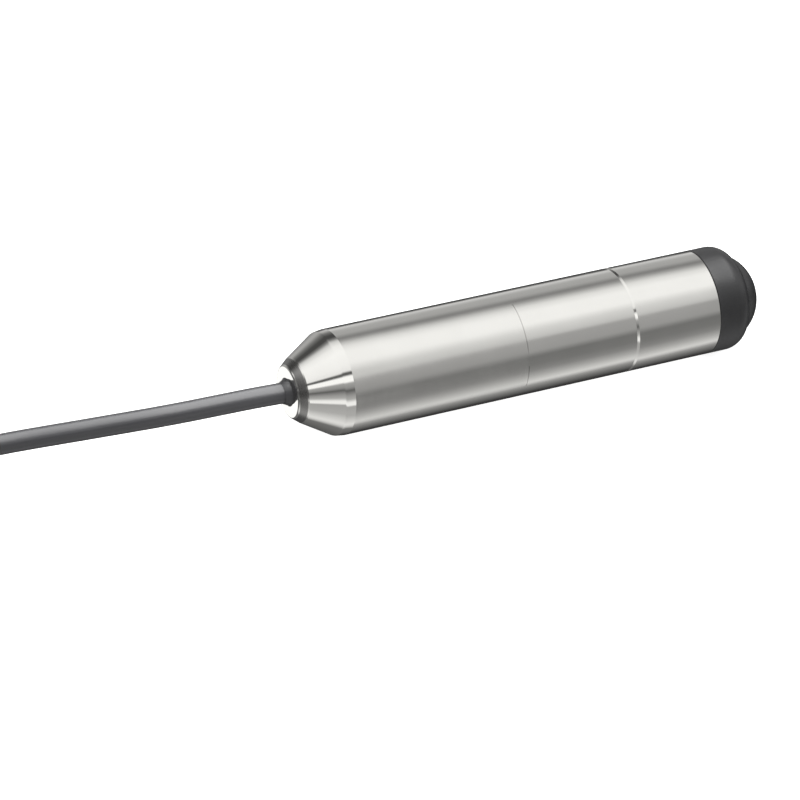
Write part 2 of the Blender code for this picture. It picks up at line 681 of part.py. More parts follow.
def build_cap(group, slide, look, cutters):
    """The nose cap, drawn from its own joint: straight band, rounded shoulder, domed nose, inlets, and the
    socket and chamber behind them."""
    start = CLEAR
    nose_r = R - CAP_NOSE_STEP
    nose_base = CAP_BAND_LENGTH + CLEAR
    nose_height = CAP_LENGTH - nose_base
    hole = CAP_INLET_DIAMETER / 2
    shoulder_r = R - CAP_SHOULDER_RADIUS

    def dome(radius, height, base, r):
        return base + height * math.sqrt(max(0.0, 1 - (r / radius) ** 2))

    # The shoulder ends where the dome is farther out than the fillet.
    turn = 90
    for step in range(90, 0, -1):
        a = math.radians(90 - step)
        r = shoulder_r + CAP_SHOULDER_RADIUS * math.cos(a)
        s = CAP_BAND_LENGTH + CAP_SHOULDER_RADIUS * math.sin(a)
        if r <= nose_r and s <= dome(nose_r, nose_height, nose_base, r):
            turn = 90 - step
            break
    shoulder = arc(shoulder_r, CAP_BAND_LENGTH, CAP_SHOULDER_RADIUS, turn, 0, 6)
    from_r = shoulder[0][0]
    angles = [math.acos(hole / nose_r), math.acos(min(1.0, from_r / nose_r))]
    nose = []
    for k in range(9):
        a = angles[0] + (angles[1] - angles[0]) * k / 8
        nose.append((nose_r * math.cos(a), nose_base + nose_height * math.sin(a)))
    outer = nose + shoulder[1:] + [(R, start + EDGE_BREAK), (R - EDGE_BREAK, start)]

    socket_r = SPIGOT_FRONT_R + CLEAR
    socket_end = SPIGOT_FRONT_LENGTH + CLEAR
    room_r, room_height = nose_r - CAP_NOSE_WALL, nose_height - CAP_NOSE_WALL
    low = math.asin(min(0.99, (socket_end - nose_base) / room_height))
    high = math.acos(hole / room_r)
    room = []
    for k in range(7):
        a = low + (high - low) * k / 6
        room.append((room_r * math.cos(a), nose_base + room_height * math.sin(a)))
    inner = [(socket_r, start), (socket_r, socket_end)] + room
    cap = turned("protective_cap", outer + inner, ROUND)
    put(cap, group, slide, (0, 0, 0), look, AXIAL)
    for k in range(CAP_SIDE_INLETS):
        angle = 2 * math.pi * (k + 0.5) / CAP_SIDE_INLETS
        drill = rod("cap_inlet_%d" % (k + 1), CAP_SIDE_INLET_DIAMETER / 2, CAP_NOSE_WALL * 4, 12)
        radius = CAP_SIDE_INLET_CIRCLE / 2
        place = (
            dome(nose_r, nose_height, nose_base, radius) - CAP_NOSE_WALL / 2,
            radius * math.cos(angle),
            radius * math.sin(angle),
        )
        # The drill's corners stand half a side off the cap's own edges, so that no two of them coincide.
        put(helper(drill), cutters, slide, place, None, (math.pi / 12, 0.0, 0.0))
        combine(cap, drill, "DIFFERENCE")


# The cable outside, its coil and its free end

def tight_loop(centres, radius, steps=4, head_after=None, head=(0.0, 0.0)):
    """The outline of a strap pulled tight round discs of one radius, whose centres go round anticlockwise:
    an arc at each, joined by straight lines. A head of that length and depth stands on one of the lines."""
    points = []
    count = len(centres)
    for k, centre in enumerate(centres):
        before = Vector(centre) - Vector(centres[k - 1])
        after = Vector(centres[(k + 1) % count]) - Vector(centre)
        start = math.atan2(-before.x, before.y)
        turn = -before.angle_signed(after)
        for i in range(steps + 1):
            a = start + turn * i / steps
            points.append((centre[0] + radius * math.cos(a), centre[1] + radius * math.sin(a)))
        if k == head_after:
            along = after.normalized()
            out = Vector((along.y, -along.x))
            middle = (Vector(centre) + Vector(centres[(k + 1) % count])) / 2 + out * radius
            half, depth = head[0] / 2, head[1]
            for spot in (
                middle - along * half,
                middle - along * half + out * depth,
                middle + along * half + out * depth,
                middle + along * half,
            ):
                points.append(tuple(spot))
    return points


def oval(radius, run, steps):
    """Points of an oval, anticlockwise: straight runs along X and round ends."""
    points = []
    for centre, start in ((run / 2, -90), (-run / 2, 90)):
        for k in range(steps + 1):
            a = math.radians(start + 180 * k / steps)
            points.append((centre + radius * math.cos(a), radius * math.sin(a)))
    return points


def build_cable(group, mouth, look, cutters):
    """The stretch that is seen, the oval hank as one solid, and the last half turn, which lies on top of it."""
    cx, cy = HANK_CENTRE
    lead = [Vector((x, y, z)) for x, y, z in ROUTE]
    lead[0].x -= CLEAR
    # The last point lies in front of the round end, where the outermost turn starts.
    inner_side = OUTER_TURN_R - CABLE_R
    round_r = OUTER_TURN_R + CABLE_R
    reach = HANK_RUN / 2 + math.sqrt(round_r**2 - inner_side**2) + CLEAR
    lead.append(Vector((cx + reach, cy + OUTER_TURN_R, CABLE_R + HANK_RISE * 0.8)))
    run = round_line("cable_run", smooth_line(lead, 2.4 * CABLE_DIAMETER), CABLE_R, 3)
    put(run, group, mouth, (0, 0, 0), look)

    corner = CABLE_R
    half, high = HANK_HALF, HANK_HEIGHT / 2
    section = flat_loop(
        "hank_section",
        [
            [
                (-half + corner, -high),
                (-half, -high + corner),
                (-half, high - corner),
                (-half + corner, high),
                (half - corner, high),
                (half, high - corner),
                (half, -high + corner),
                (half - corner, -high),
            ]
        ],
        0.0,
    )
    section.data.fill_mode = "NONE"
    put(helper(section), cutters, mouth, (cx, cy, HANK_RISE + high))
    spine = bpy.data.curves.new("cable_coil", "CURVE")
    spine.dimensions = "2D"
    spine.fill_mode = "NONE"
    spine.bevel_mode = "OBJECT"
    spine.bevel_object = section
    points = oval(HANK_MIDDLE_R, HANK_RUN, 14)
    line = spine.splines.new("POLY")
    line.points.add(len(points) - 1)
    for spot, (x, y) in zip(line.points, points):
        spot.co = (x, y, 0.0, 1.0)
    line.use_cyclic_u = True
    hank = bpy.data.objects.new("cable_coil", spine)
    put(hank, group, mouth, (cx, cy, HANK_RISE + high), look)

    # On top: along the far run, round the left end, and along the near run to the jacket's end.
    ends, aside = END_FROM_CENTRE
    low = CABLE_R + CLEAR
    left = -HANK_RUN / 2
    way = [(x, HANK_MIDDLE_R, low) for x in (END_START, END_START / 3, -END_START / 3, left + 0.008)]
    for degrees in range(100, 261, 20):
        a = math.radians(degrees)
        way.append((left + HANK_MIDDLE_R * math.cos(a), HANK_MIDDLE_R * math.sin(a), low))
    way.append((left + 0.008, -HANK_MIDDLE_R + 0.3 * aside, low + 0.0002))
    way.append(((left + ends) / 2, -HANK_MIDDLE_R + 0.8 * aside, END_RISE))
    way.append((ends - 0.008, -HANK_MIDDLE_R + aside, END_RISE))
    way.append((ends, -HANK_MIDDLE_R + aside, END_RISE))
    end = round_line("cable_end", smooth_line(way, 2 * CABLE_DIAMETER), CABLE_R, 3)
    put(end, group, mouth, (cx, cy, HANK_TOP), look)


def build_ties(group, mouth, look):
    """Two nylon ties round the two sides of the hank. The far one also holds the half turn on top."""
    cx, cy = HANK_CENTRE
    low, high = CABLE_R, HANK_HEIGHT - CABLE_R
    for name, along, degrees, with_top in TIE_PLACES:
        centres = [(HANK_BEND, low), (OUTER_TURN_R, low), (OUTER_TURN_R, high)]
        if with_top:
            centres.append((HANK_MIDDLE_R, HANK_HEIGHT + CLEAR + CABLE_R))
        centres.append((HANK_BEND, high))
        head_after = len(centres) - 1 if with_top else 2
        hole = tight_loop(centres, CABLE_R + CLEAR)
        outline = tight_loop(
            centres, CABLE_R + CLEAR + TIE_THICKNESS, 4, head_after, (TIE_HEAD, TIE_HEAD * 0.7)
        )
        a = math.radians(degrees)
        tie = flat_loop(name, [outline, hole[::-1]], TIE_WIDTH)
        put(tie, group, mouth, (cx + along, cy, HANK_RISE), look)
        frame = Matrix(((math.cos(a), 0.0, math.sin(a)), (math.sin(a), 0.0, -math.cos(a)), (0.0, 1.0, 0.0)))
        tie.rotation_euler = frame.to_euler()


def build_free_end(group, end_axis, looks):
    """Heat-shrink sleeve, three cores with their ferrules, and the vent tube with its filter cap, drawn from
    the jacket's end along +Y."""
    sleeve_r = CABLE_R + CLEAR
    along_y = (-math.pi / 2, 0.0, 0.0)
    sleeve = turned(
        "end_sleeve",
        tube_profile(sleeve_r + SLEEVE_WALL, sleeve_r, -SLEEVE_LENGTH / 2, SLEEVE_LENGTH / 2),
        24,
    )
    put(sleeve, group, end_axis, (0, 0, END_RISE), looks["sleeve black"], along_y)
    fan = {-1: -0.0052, 0: -0.0017, 1: 0.0018}
    for name, side in CORES:
        dx, dz = core_place(side)
        start = Vector((dx, CLEAR, END_RISE + dz))
        tip = Vector((fan[side], CORE_LENGTH, FERRULE_COLLAR_DIAMETER / 2 + CLEAR))
        points = [
            start,
            start + Vector((0, SLEEVE_LENGTH / 2 + 0.0005, 0)),
            Vector((0.7 * tip.x + 0.3 * start.x, 0.6 * CORE_LENGTH, start.z)),
            tip + Vector((0, -0.0030, 0.0002)),
            tip,
        ]
        core = round_line("core_" + name, smooth_line(points, 0.0030), CORE_DIAMETER / 2)
        put(core, group, end_axis, (0, 0, 0), looks["core " + name])
        ferrule = turned(
            "ferrule_" + name,
            [
                (0.0, FERRULE_LENGTH),
                (CORE_DIAMETER * 0.42, FERRULE_LENGTH),
                (CORE_DIAMETER * 0.42, FERRULE_LENGTH * 0.32),
                (FERRULE_COLLAR_DIAMETER / 2, FERRULE_LENGTH * 0.22),
                (FERRULE_COLLAR_DIAMETER / 2, 0.0),
                (0.0, 0.0),
            ],
            12,
            closed=False,
        )
        put(ferrule, group, end_axis, tip + Vector((0, CLEAR, 0)), looks["tin"], along_y)
    vent_z = END_RISE - CORE_SPREAD
    vent_end = Vector((VENT_ASIDE, VENT_LENGTH, FILTER_DIAMETER / 2 + CLEAR))
    points = [
        (0.0, CLEAR, vent_z),
        (0.0, SLEEVE_LENGTH / 2 + 0.0010, vent_z),
        (0.45 * VENT_ASIDE, 0.60 * VENT_LENGTH, vent_z - 0.0006),
        (0.90 * VENT_ASIDE, 0.85 * VENT_LENGTH, vent_z),
        vent_end,
    ]
    tube = round_line("vent_tube_end", smooth_line(points, 0.0030), VENT_DIAMETER / 2)
    put(tube, group, end_axis, (0, 0, 0), looks["clear plastic"])
    filter_cap = turned(
        "vent_filter",
        [
            (0.0, FILTER_LENGTH),
            (FILTER_DIAMETER / 2 - 0.0005, FILTER_LENGTH),
            (FILTER_DIAMETER / 2, FILTER_LENGTH - 0.0005),
            (FILTER_DIAMETER / 2, 0.0016),
            (VENT_DIAMETER / 2 + 0.0005, 0.0),
            (0.0, 0.0),
        ],
        16,
        closed=False,
    )
    put(filter_cap, group, end_axis, vent_end + Vector((0, CLEAR, 0)), looks["white plastic"], along_y)


def main():
    wipe_scene()
    parts = new_collection("submersible_level_transmitter")
    cutters = new_collection("cutters")
    looks = {
        "steel": material("stainless steel", (0.62, 0.61, 0.59), 0.24, 1.0),
        "cap": material("black moulded plastic", (0.022, 0.022, 0.024), 0.42),
        "cable grey": material("dark grey cable jacket", (0.060, 0.060, 0.064), 0.55),
        "rubber": material("black rubber", (0.012, 0.012, 0.012), 0.62),
        "ceramic": material("white ceramic", (0.80, 0.78, 0.72), 0.30),
        "white plastic": material("natural white plastic", (0.72, 0.71, 0.67), 0.50),
        "brass": material("plain brass", (0.72, 0.52, 0.24), 0.35, 1.0),
        "board green": material("green board", (0.018, 0.110, 0.045), 0.45),
        "terminal green": material("green terminal plastic", (0.030, 0.230, 0.060), 0.45),
        "chip black": material("black moulding compound", (0.020, 0.020, 0.022), 0.50),
        "can aluminium": material("aluminium can", (0.70, 0.70, 0.71), 0.30, 1.0),
        "ribbon amber": material("amber flex ribbon", (0.520, 0.230, 0.030), 0.35),
        "core supply": material("red core insulation", (0.420, 0.020, 0.015), 0.45),
        "core screen": material("white core insulation", (0.700, 0.700, 0.680), 0.45),
        "core signal": material("blue core insulation", (0.020, 0.070, 0.360), 0.45),
        "clear plastic": material("translucent vent tube", (0.640, 0.660, 0.660), 0.25),
        "sleeve black": material("black heat-shrink sleeve", (0.018, 0.018, 0.019), 0.50),
        "tin": material("tinned copper", (0.66, 0.65, 0.62), 0.32, 1.0),
        "tie black": material("black nylon tie", (0.020, 0.020, 0.020), 0.45),
    }
    probe = empty("probe_axis", parts, None, (X_START, 0, R))
    slide = empty("cap_slide_axis", parts, probe, (S_CAP, 0, 0))
    mouth = empty("cable_ground", parts, None, (X_START, 0, 0))

    build_housing(parts, probe, looks["steel"])
    build_sensor_head(parts, probe, looks["steel"])
    build_head_seals(parts, probe, looks["rubber"])
    build_cell(parts, probe, looks, cutters)
    build_board(parts, probe, looks, cutters)
    build_board_parts(parts, probe, looks, cutters)
    build_gland(parts, probe, looks, cutters)
    build_inner_wires(parts, probe, looks)
    build_cap(parts, slide, looks["cap"], cutters)
    build_cable(parts, mouth, looks["cable grey"], cutters)
    build_ties(parts, mouth, looks["tie black"])
    cx, cy = HANK_CENTRE
    ends, aside = END_FROM_CENTRE
    end_axis = empty("free_end_axis", parts, mouth, (cx + ends, cy - HANK_MIDDLE_R + aside, HANK_TOP))
    end_axis.rotation_euler = (0.0, 0.0, -math.pi / 2)
    build_free_end(parts, end_axis, looks)
    bpy.context.view_layer.update()


main()
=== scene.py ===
"""Submersible level transmitter, dressed for its picture: a lesson in cells.

The probe lies along X on a pale floor, its cable leaves to the left and is wound into a hank there. All sizes
are metres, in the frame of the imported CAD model, which this script loads and never moves.
"""

# %% [markdown]
# # A submersible level transmitter
# The real thing is a slim stainless steel probe that hangs in a well or a tank on its own cable. The packed
# CAD model already has the right sizes, so the lesson starts by loading it. The finished scene must not
# outgrow it.

# %% Load the imported model
import math

import bmesh
import bpy
import numpy as np
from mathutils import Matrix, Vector


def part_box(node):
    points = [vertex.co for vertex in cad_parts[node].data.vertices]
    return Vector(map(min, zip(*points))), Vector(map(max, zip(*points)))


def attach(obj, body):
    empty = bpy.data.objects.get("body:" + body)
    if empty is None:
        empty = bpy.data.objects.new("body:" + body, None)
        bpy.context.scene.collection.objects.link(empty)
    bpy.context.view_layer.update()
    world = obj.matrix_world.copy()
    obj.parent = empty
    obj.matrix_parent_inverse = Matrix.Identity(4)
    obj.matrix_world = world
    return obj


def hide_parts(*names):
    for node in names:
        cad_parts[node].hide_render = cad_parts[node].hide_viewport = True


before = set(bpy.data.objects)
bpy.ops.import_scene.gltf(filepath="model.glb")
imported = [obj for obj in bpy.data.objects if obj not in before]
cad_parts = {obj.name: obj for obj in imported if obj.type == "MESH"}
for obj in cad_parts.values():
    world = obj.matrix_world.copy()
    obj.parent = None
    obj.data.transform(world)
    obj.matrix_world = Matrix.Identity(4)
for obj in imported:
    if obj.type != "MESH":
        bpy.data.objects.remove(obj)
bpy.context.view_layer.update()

# %% [markdown]
# ## The camera
# The picture was taken from above and a little from the cable's end, with a long lens. The camera was
# fitted to the outline of the body, so its numbers are angles, a distance and a lens, and a point that it
# looks at. It stands level, so two turns are enough.

# %% Stand the camera
AZIMUTH, ELEVATION = math.radians(-25.811), math.radians(27.472)
CAMERA_DISTANCE = 1.13674
CAMERA_TARGET = np.array([-0.0342, 0.0, 0.0043])
to_camera = np.array([
    math.sin(AZIMUTH) * math.cos(ELEVATION),
    -math.cos(AZIMUTH) * math.cos(ELEVATION),
    math.sin(ELEVATION),
])
lens = bpy.data.cameras.new("camera")
lens.lens, lens.sensor_width = 203.9, 36.0
lens.clip_end = 20.0
camera = bpy.data.objects.new("camera", lens)
camera.location = CAMERA_TARGET + CAMERA_DISTANCE * to_camera
camera.rotation_euler = (math.pi / 2 - ELEVATION, 0.0, AZIMUTH)
bpy.context.scene.collection.objects.link(camera)
bpy.context.scene.camera = camera
bpy.context.scene.view_settings.view_transform = "Standard"
print("camera at", np.round(np.array(camera.location), 3).tolist())

# %% [markdown]
# ## Shared sizes
# A piece that takes the place of a CAD node has to sit where the node does. These are the CAD model's own
# sizes: distances along the probe are counted from the flat front of the cone and are called stations.

# %% Sizes of the probe
BODY_R = 0.0135
CABLE_R = 0.00265
PLAY = 0.0003
S_CONE, S_JOINT, S_CAP = 0.0102, 0.0909, 0.1153
CAP_LENGTH = 0.0163
X_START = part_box("housing_tube")[0].x
print("cone's front at x =", round(1000 * X_START, 2), "mm")

# %% [markdown]
# ## Surfaces from arrays
# Nearly every piece here is a grid of points: one direction runs along a profile or a path, the other goes
# round. numpy works out all the points at once. One function joins neighbours of the grid with faces, and
# one puts points and faces into a mesh. Faces must point outwards, so the volume's sign is measured and the
# faces are turned if it is negative.

# %% Grid faces and meshes
def grid_faces(rows, columns, close_rows=False):
    """Four-sided faces between neighbours (i, j), (i, j+1), (i+1, j+1), (i+1, j). Columns always wrap."""
    i, j = np.meshgrid(np.arange(rows - (not close_rows)), np.arange(columns), indexing="ij")
    down, right = (i + 1) % rows, (j + 1) % columns
    corners = [i * columns + j, i * columns + right, down * columns + right, down * columns + j]
    return np.stack(corners, -1).reshape(-1, 4)


def signed_volume(points, faces):
    """Sums the volume that each face makes with the origin. It is negative for an inside-out shell."""
    a, b, c = (points[faces[:, k]] for k in (0, 1, 2))
    d = points[faces[:, -1]]
    return float((np.cross(a, b) * c).sum() + (np.cross(a, c) * d).sum()) / 6


def piece(name, points, faces, look, slot, replaces=(), body="probe", sharp=35.0, extra=None):
    """Puts the arrays into a mesh, closes poles, gives it its finish, and lets it ride on a body."""
    points = np.asarray(points, float).reshape(-1, 3)
    if signed_volume(points, faces) < 0:
        faces = faces[:, ::-1]
    mesh = bpy.data.meshes.new(name)
    mesh.from_pydata(points.tolist(), [], faces.tolist())
    for attribute, values in (extra or {}).items():
        mesh.attributes.new(attribute, "FLOAT_VECTOR", "POINT").data.foreach_set("vector", values.ravel())
    shape = bmesh.new()
    shape.from_mesh(mesh)
    bmesh.ops.remove_doubles(shape, verts=shape.verts, dist=1e-7)
    bmesh.ops.dissolve_degenerate(shape, edges=shape.edges, dist=1e-8)
    shape.to_mesh(mesh)
    shape.free()
    mesh.shade_smooth()
    mesh.set_sharp_from_angle(angle=math.radians(sharp))
    mesh.materials.append(look)
    made = bpy.data.objects.new(name, mesh)
    bpy.context.scene.collection.objects.link(made)
    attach(made, body)
    if replaces:
        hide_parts(*replaces)
    print(f"{name}: {len(mesh.vertices)} points, {len(mesh.polygons)} faces")
    return made


# %% [markdown]
# ## Profiles and turning
# A turned piece is a profile of radius and station, carried round the probe's axis. Real edges are never
# quite sharp, so a helper replaces each corner of a profile by a small arc. That thin arc is what catches
# the light.

# %% Rounded profiles
def rounded(corners, steps=5):
    """Corners as (radius, station, fillet). Each corner with a fillet becomes an arc that touches both of its
    sides: the arc's points lie on a circle round the point at fillet / cos(half turn) along the bisector."""
    made = []
    spots = np.array([c[:2] for c in corners], float)
    for k, corner in enumerate(corners):
        here, fillet = spots[k], corner[2] if len(corner) > 2 else 0.0
        if not fillet:
            made.append(here[None])
            continue
        before, after = spots[k - 1] - here, spots[(k + 1) % len(spots)] - here
        before, after = before / np.linalg.norm(before), after / np.linalg.norm(after)
        half = math.acos(float(np.clip(before @ after, -1, 1))) / 2
        middle = (before + after) / np.linalg.norm(before + after)
        centre = here + middle * fillet / math.sin(half)
        start, end = here + before * fillet / math.tan(half), here + after * fillet / math.tan(half)
        t = np.linspace(0, 1, steps + 1)[:, None]
        arm = (start - centre) * (1 - t) + (end - centre) * t
        made.append(centre + fillet * arm / np.linalg.norm(arm, axis=1)[:, None])
    return np.concatenate(made)


def spun(profile, sides):
    """Carries a profile round the probe's axis: x = start + station, y = r cos t, z = R + r sin t."""
    t = np.linspace(0, 2 * np.pi, sides, endpoint=False)
    r, s = profile[:, :1], profile[:, 1:]
    return np.stack([X_START + s + 0 * t, r * np.cos(t), BODY_R + r * np.sin(t)], -1)


def turned(name, profile, look, slot, closed=True, sides=160, **more):
    """A turned piece. A closed profile is a ring's section; an open one starts and ends on the axis."""
    faces = grid_faces(len(profile), sides, close_rows=closed)
    return piece(name, spun(profile, sides), faces, look, slot, **more)


# %% [markdown]
# ## Finishes as node trees
# Colours are picked as the eye sees them, as hex values, and a shader wants linear light, so one function
# converts them. Another adds a node with its settings and links, and that is all that a node tree needs.

# %% Colour and node helpers
def linear(hex_colour):
    """Each channel c becomes c / 12.92 where dark, and ((c + 0.055) / 1.055) ^ 2.4 elsewhere."""
    c = np.array([int(hex_colour[k:k + 2], 16) for k in (1, 3, 5)]) / 255
    c = np.where(c <= 0.04045, c / 12.92, ((c + 0.055) / 1.055) ** 2.4)
    return (*c.tolist(), 1.0)


def add(tree, kind, sockets=None, **settings):
    """Adds one node. Settings are its own properties; sockets maps inputs to values or to outputs to link."""
    made = tree.nodes.new(kind)
    for name, value in settings.items():
        setattr(made, name, value)
    for key, value in (sockets or {}).items():
        if isinstance(value, bpy.types.NodeSocket):
            tree.links.new(value, made.inputs[key])
        else:
            made.inputs[key].default_value = value
    return made


def blank(name, **sockets):
    """A new material and its shader, with uniform values set on the shader's own sockets."""
    made = bpy.data.materials.new(name)
    made.use_nodes = True
    shader = made.node_tree.nodes["Principled BSDF"]
    for key, value in sockets.items():
        shader.inputs[key.replace("_", " ")].default_value = value
    return made, made.node_tree, shader


# %% [markdown]
# ## Moulded and extruded plastics and rubbers
# Injection-moulded plastic and extruded rubber have a fine even grain from the mould or the die, and a
# slight unevenness in colour and gloss. One function makes that finish: a coarse noise mixes two near
# colours and shifts the gloss, and a fine noise gives the grain its height. Grain finer than about 0.1 mm
# wouldn't show, so it is drawn a little coarser than it is.

# %% Grained finish
NOISE_LOW, NOISE_HIGH = 0.3, 0.7  # nearly all of a noise lies between these


def grained(name, dark, light, grain_mm, depth_mm, gloss, cloud_mm=6.0, **sockets):
    """Colour runs from dark to light with noise of size cloud_mm, gloss is a (low, high) pair of roughness,
    and the surface rises by noise of size grain_mm and height depth_mm."""
    made, tree, shader = blank(name, **sockets)
    place = add(tree, "ShaderNodeTexCoord").outputs["Object"]
    cloud = add(tree, "ShaderNodeTexNoise", {"Vector": place, "Scale": 1000 / cloud_mm, "Detail": 3.0})
    grain = add(tree, "ShaderNodeTexNoise", {"Vector": place, "Scale": 1000 / grain_mm, "Detail": 2.0})
    spread = add(tree, "ShaderNodeMapRange", {
        "Value": cloud.outputs["Fac"], "From Min": NOISE_LOW, "From Max": NOISE_HIGH})
    colour = add(tree, "ShaderNodeMix", {
        "Factor": spread.outputs["Result"], "A": linear(dark), "B": linear(light)}, data_type="RGBA")
    rough = add(tree, "ShaderNodeMapRange", {
        "Value": cloud.outputs["Fac"], "From Min": NOISE_LOW, "From Max": NOISE_HIGH,
        "To Min": gloss[0], "To Max": gloss[1]})
    bump = add(tree, "ShaderNodeBump", {
        "Height": grain.outputs["Fac"], "Distance": depth_mm / 1000, "Strength": 1.0})
    tree.links.new(colour.outputs["Result"], shader.inputs["Base Color"])
    tree.links.new(rough.outputs["Result"], shader.inputs["Roughness"])
    tree.links.new(bump.outputs["Normal"], shader.inputs["Normal"])
    return made


# %% [markdown]
# ## The cable jacket
# The cable of such a probe has a dark grey polyurethane jacket. It is extruded, which leaves very fine
# lines along its length, and it has a soft sheen. The lines have to follow the cable round every turn of
# the hank, so the mesh carries its own coordinates: two that go round and one that counts the length.

# %% Cable jacket finish
# Extruded polyurethane: IOR about 1.5, soft sheen. A line is about 0.4 mm wide and smeared along the
# length.
jacket, tree, shader = blank("extruded_polyurethane_jacket", IOR=1.5)
winding = add(tree, "ShaderNodeAttribute", attribute_name="winding").outputs["Vector"]
lines = add(tree, "ShaderNodeMapping", {"Vector": winding, "Scale": (6.5, 6.5, 12.0)})
streak = add(tree, "ShaderNodeTexNoise", {"Vector": lines.outputs["Vector"], "Scale": 1.0, "Detail": 3.0})
grain = add(tree, "ShaderNodeTexNoise", {
    "Vector": add(tree, "ShaderNodeTexCoord").outputs["Object"], "Scale": 1000 / 0.35, "Detail": 2.0})
tone = add(tree, "ShaderNodeMapRange", {
    "Value": streak.outputs["Fac"], "From Min": NOISE_LOW, "From Max": NOISE_HIGH})
colour = add(tree, "ShaderNodeMix", {
    "Factor": tone.outputs["Result"], "A": linear("#252527"), "B": linear("#2C2C2E")}, data_type="RGBA")
rough = add(tree, "ShaderNodeMapRange", {
    "Value": streak.outputs["Fac"], "From Min": NOISE_LOW, "From Max": NOISE_HIGH,
    "To Min": 0.30, "To Max": 0.38})
height = add(tree, "ShaderNodeMath", {0: streak.outputs["Fac"], 1: grain.outputs["Fac"]}, operation="ADD")
JACKET_GRAIN = 0.000012
bump = add(tree, "ShaderNodeBump", {
    "Height": height.outputs["Value"], "Distance": JACKET_GRAIN, "Strength": 1.0})
tree.links.new(colour.outputs["Result"], shader.inputs["Base Color"])
tree.links.new(rough.outputs["Result"], shader.inputs["Roughness"])
tree.links.new(bump.outputs["Normal"], shader.inputs["Normal"])

# %% [markdown]
# ## The cable's way
# The cable comes straight out of the cone, sags to the floor in its first 100 mm and runs on to the left.
# The picture shows only that much. The rest of its 5 m is wound into an oval hank past the picture's edge,
# as it is delivered. First a smooth curve through the points of the seen stretch.

# %% A smooth curve through points
def smooth(points, gap):
    """Centripetal Catmull-Rom: between two points the curve blends the lines through their neighbours, each
    weighted by the square root of the distances, sampled about every gap."""
    knots = np.array(points, float)
    knots = np.vstack([2 * knots[0] - knots[1], knots, 2 * knots[-1] - knots[-2]])
    made = []
    for k in range(1, len(knots) - 2):
        p = knots[k - 1:k + 3]
        t = np.concatenate([[0.0], np.cumsum(np.sqrt(np.linalg.norm(np.diff(p, axis=0), axis=1)))])
        count = max(1, round(float(np.linalg.norm(p[2] - p[1])) / gap))
        u = np.linspace(t[1], t[2], count, endpoint=False)[:, None]
        a = [(p[i] * (t[i + 1] - u) + p[i + 1] * (u - t[i])) / (t[i + 1] - t[i]) for i in range(3)]
        b = [(a[i] * (t[i + 2] - u) + a[i + 1] * (u - t[i])) / (t[i + 2] - t[i]) for i in range(2)]
        made.append((b[0] * (t[2] - u) + b[1] * (u - t[1])) / (t[2] - t[1]))
    return np.vstack(made + [knots[-2:-1]])


def length_of(path):
    """The sum of the distances between neighbours."""
    return float(np.linalg.norm(np.diff(path, axis=0), axis=1).sum())


MOUTH = np.array([X_START, 0.0, 0.0])
SEEN = MOUTH + np.array([
    (-0.0003, 0.0, BODY_R),
    (-0.0089, 0.0010, BODY_R - 0.0002),
    (-0.0287, 0.0050, BODY_R - 0.0020),
    (-0.0472, 0.0115, BODY_R - 0.0047),
    (-0.0658, 0.0185, BODY_R - 0.0076),
    (-0.0762, 0.0214, BODY_R - 0.0090),
    (-0.0973, 0.0225, CABLE_R + 0.0009),
])
POINT_GAP = 0.003
print("seen stretch:", round(1000 * length_of(smooth(SEEN, POINT_GAP))), "mm")

# %% [markdown]
# ## Winding the hank
# A hank has two straight runs and two round ends. The hand that winds it goes inwards in the bottom layer
# and outwards in the next, so layers have 3, 2, 3, 2, 3 and 2 turns and each nests in the one below. A turn
# keeps its distance from the middle all the way, and shifts to the next one on the right round end. The
# hank stands on its two ties and sags a little between them.

# %% Place of every turn
HANK_CENTRE = MOUTH + np.array([-0.1590, -0.0045, 0.0])
HANK_RUN, HANK_RISE = 0.0890, 0.0014
TURN_PITCH, LAYER_RISE = 0.0055, 0.00475
WIDE = 0.0270 - TURN_PITCH * np.arange(3)
NARROW = WIDE[2] + TURN_PITCH * (0.5 + np.arange(2))
turn_r = np.concatenate([np.tile(np.concatenate([WIDE, NARROW]), 3), [WIDE[1]]])
turn_layer = np.repeat(np.arange(7), [3, 2, 3, 2, 3, 2, 1])
TIES = {"near": (0.0335, -1.0), "far": (-0.0180, 1.0)}  # where along the run, and on which side
FULL_TURNS = 15
SAG = HANK_RISE - 0.0001  # the hank hangs down nearly to the floor between its ties
SAG_STARTS, SAG_TAKES = 0.008, 0.032  # away from a tie


def ease(t):
    """0 before 0, 1 after 1, and 3 t^2 - 2 t^3 between."""
    t = np.clip(t, 0, 1)
    return t * t * (3 - 2 * t)


def sag_at(x, y):
    """How far the hank sags at a place counted from its middle: nothing at a tie, all of it 40 mm away."""
    away = [np.hypot(x - place, y - side * WIDE[1]) for place, side in TIES.values()]
    return SAG * ease((np.min(away, axis=0) - SAG_STARTS) / SAG_TAKES)


def hank_point(quarters, r, z):
    """A point of the hank, that many quarters from the right end of its far run: run, end, run, end. On a run
    x goes evenly and y is r or -r. On a round end the angle goes evenly round the end's centre."""
    quarter, t = np.divmod(np.mod(quarters, 4.0), 1.0)
    half = HANK_RUN / 2
    angle = np.pi * (t + 0.5) + np.pi * (quarter == 3)
    part = quarter.astype(int)
    round_x, round_y = r * np.cos(angle), r * np.sin(angle)
    x = np.choose(part, [half - HANK_RUN * t, -half + round_x, HANK_RUN * t - half, half + round_x])
    y = np.choose(part, [r + 0 * t, round_y, -r + 0 * t, round_y])
    return HANK_CENTRE + np.stack([x, y, z - sag_at(x, y)], -1)


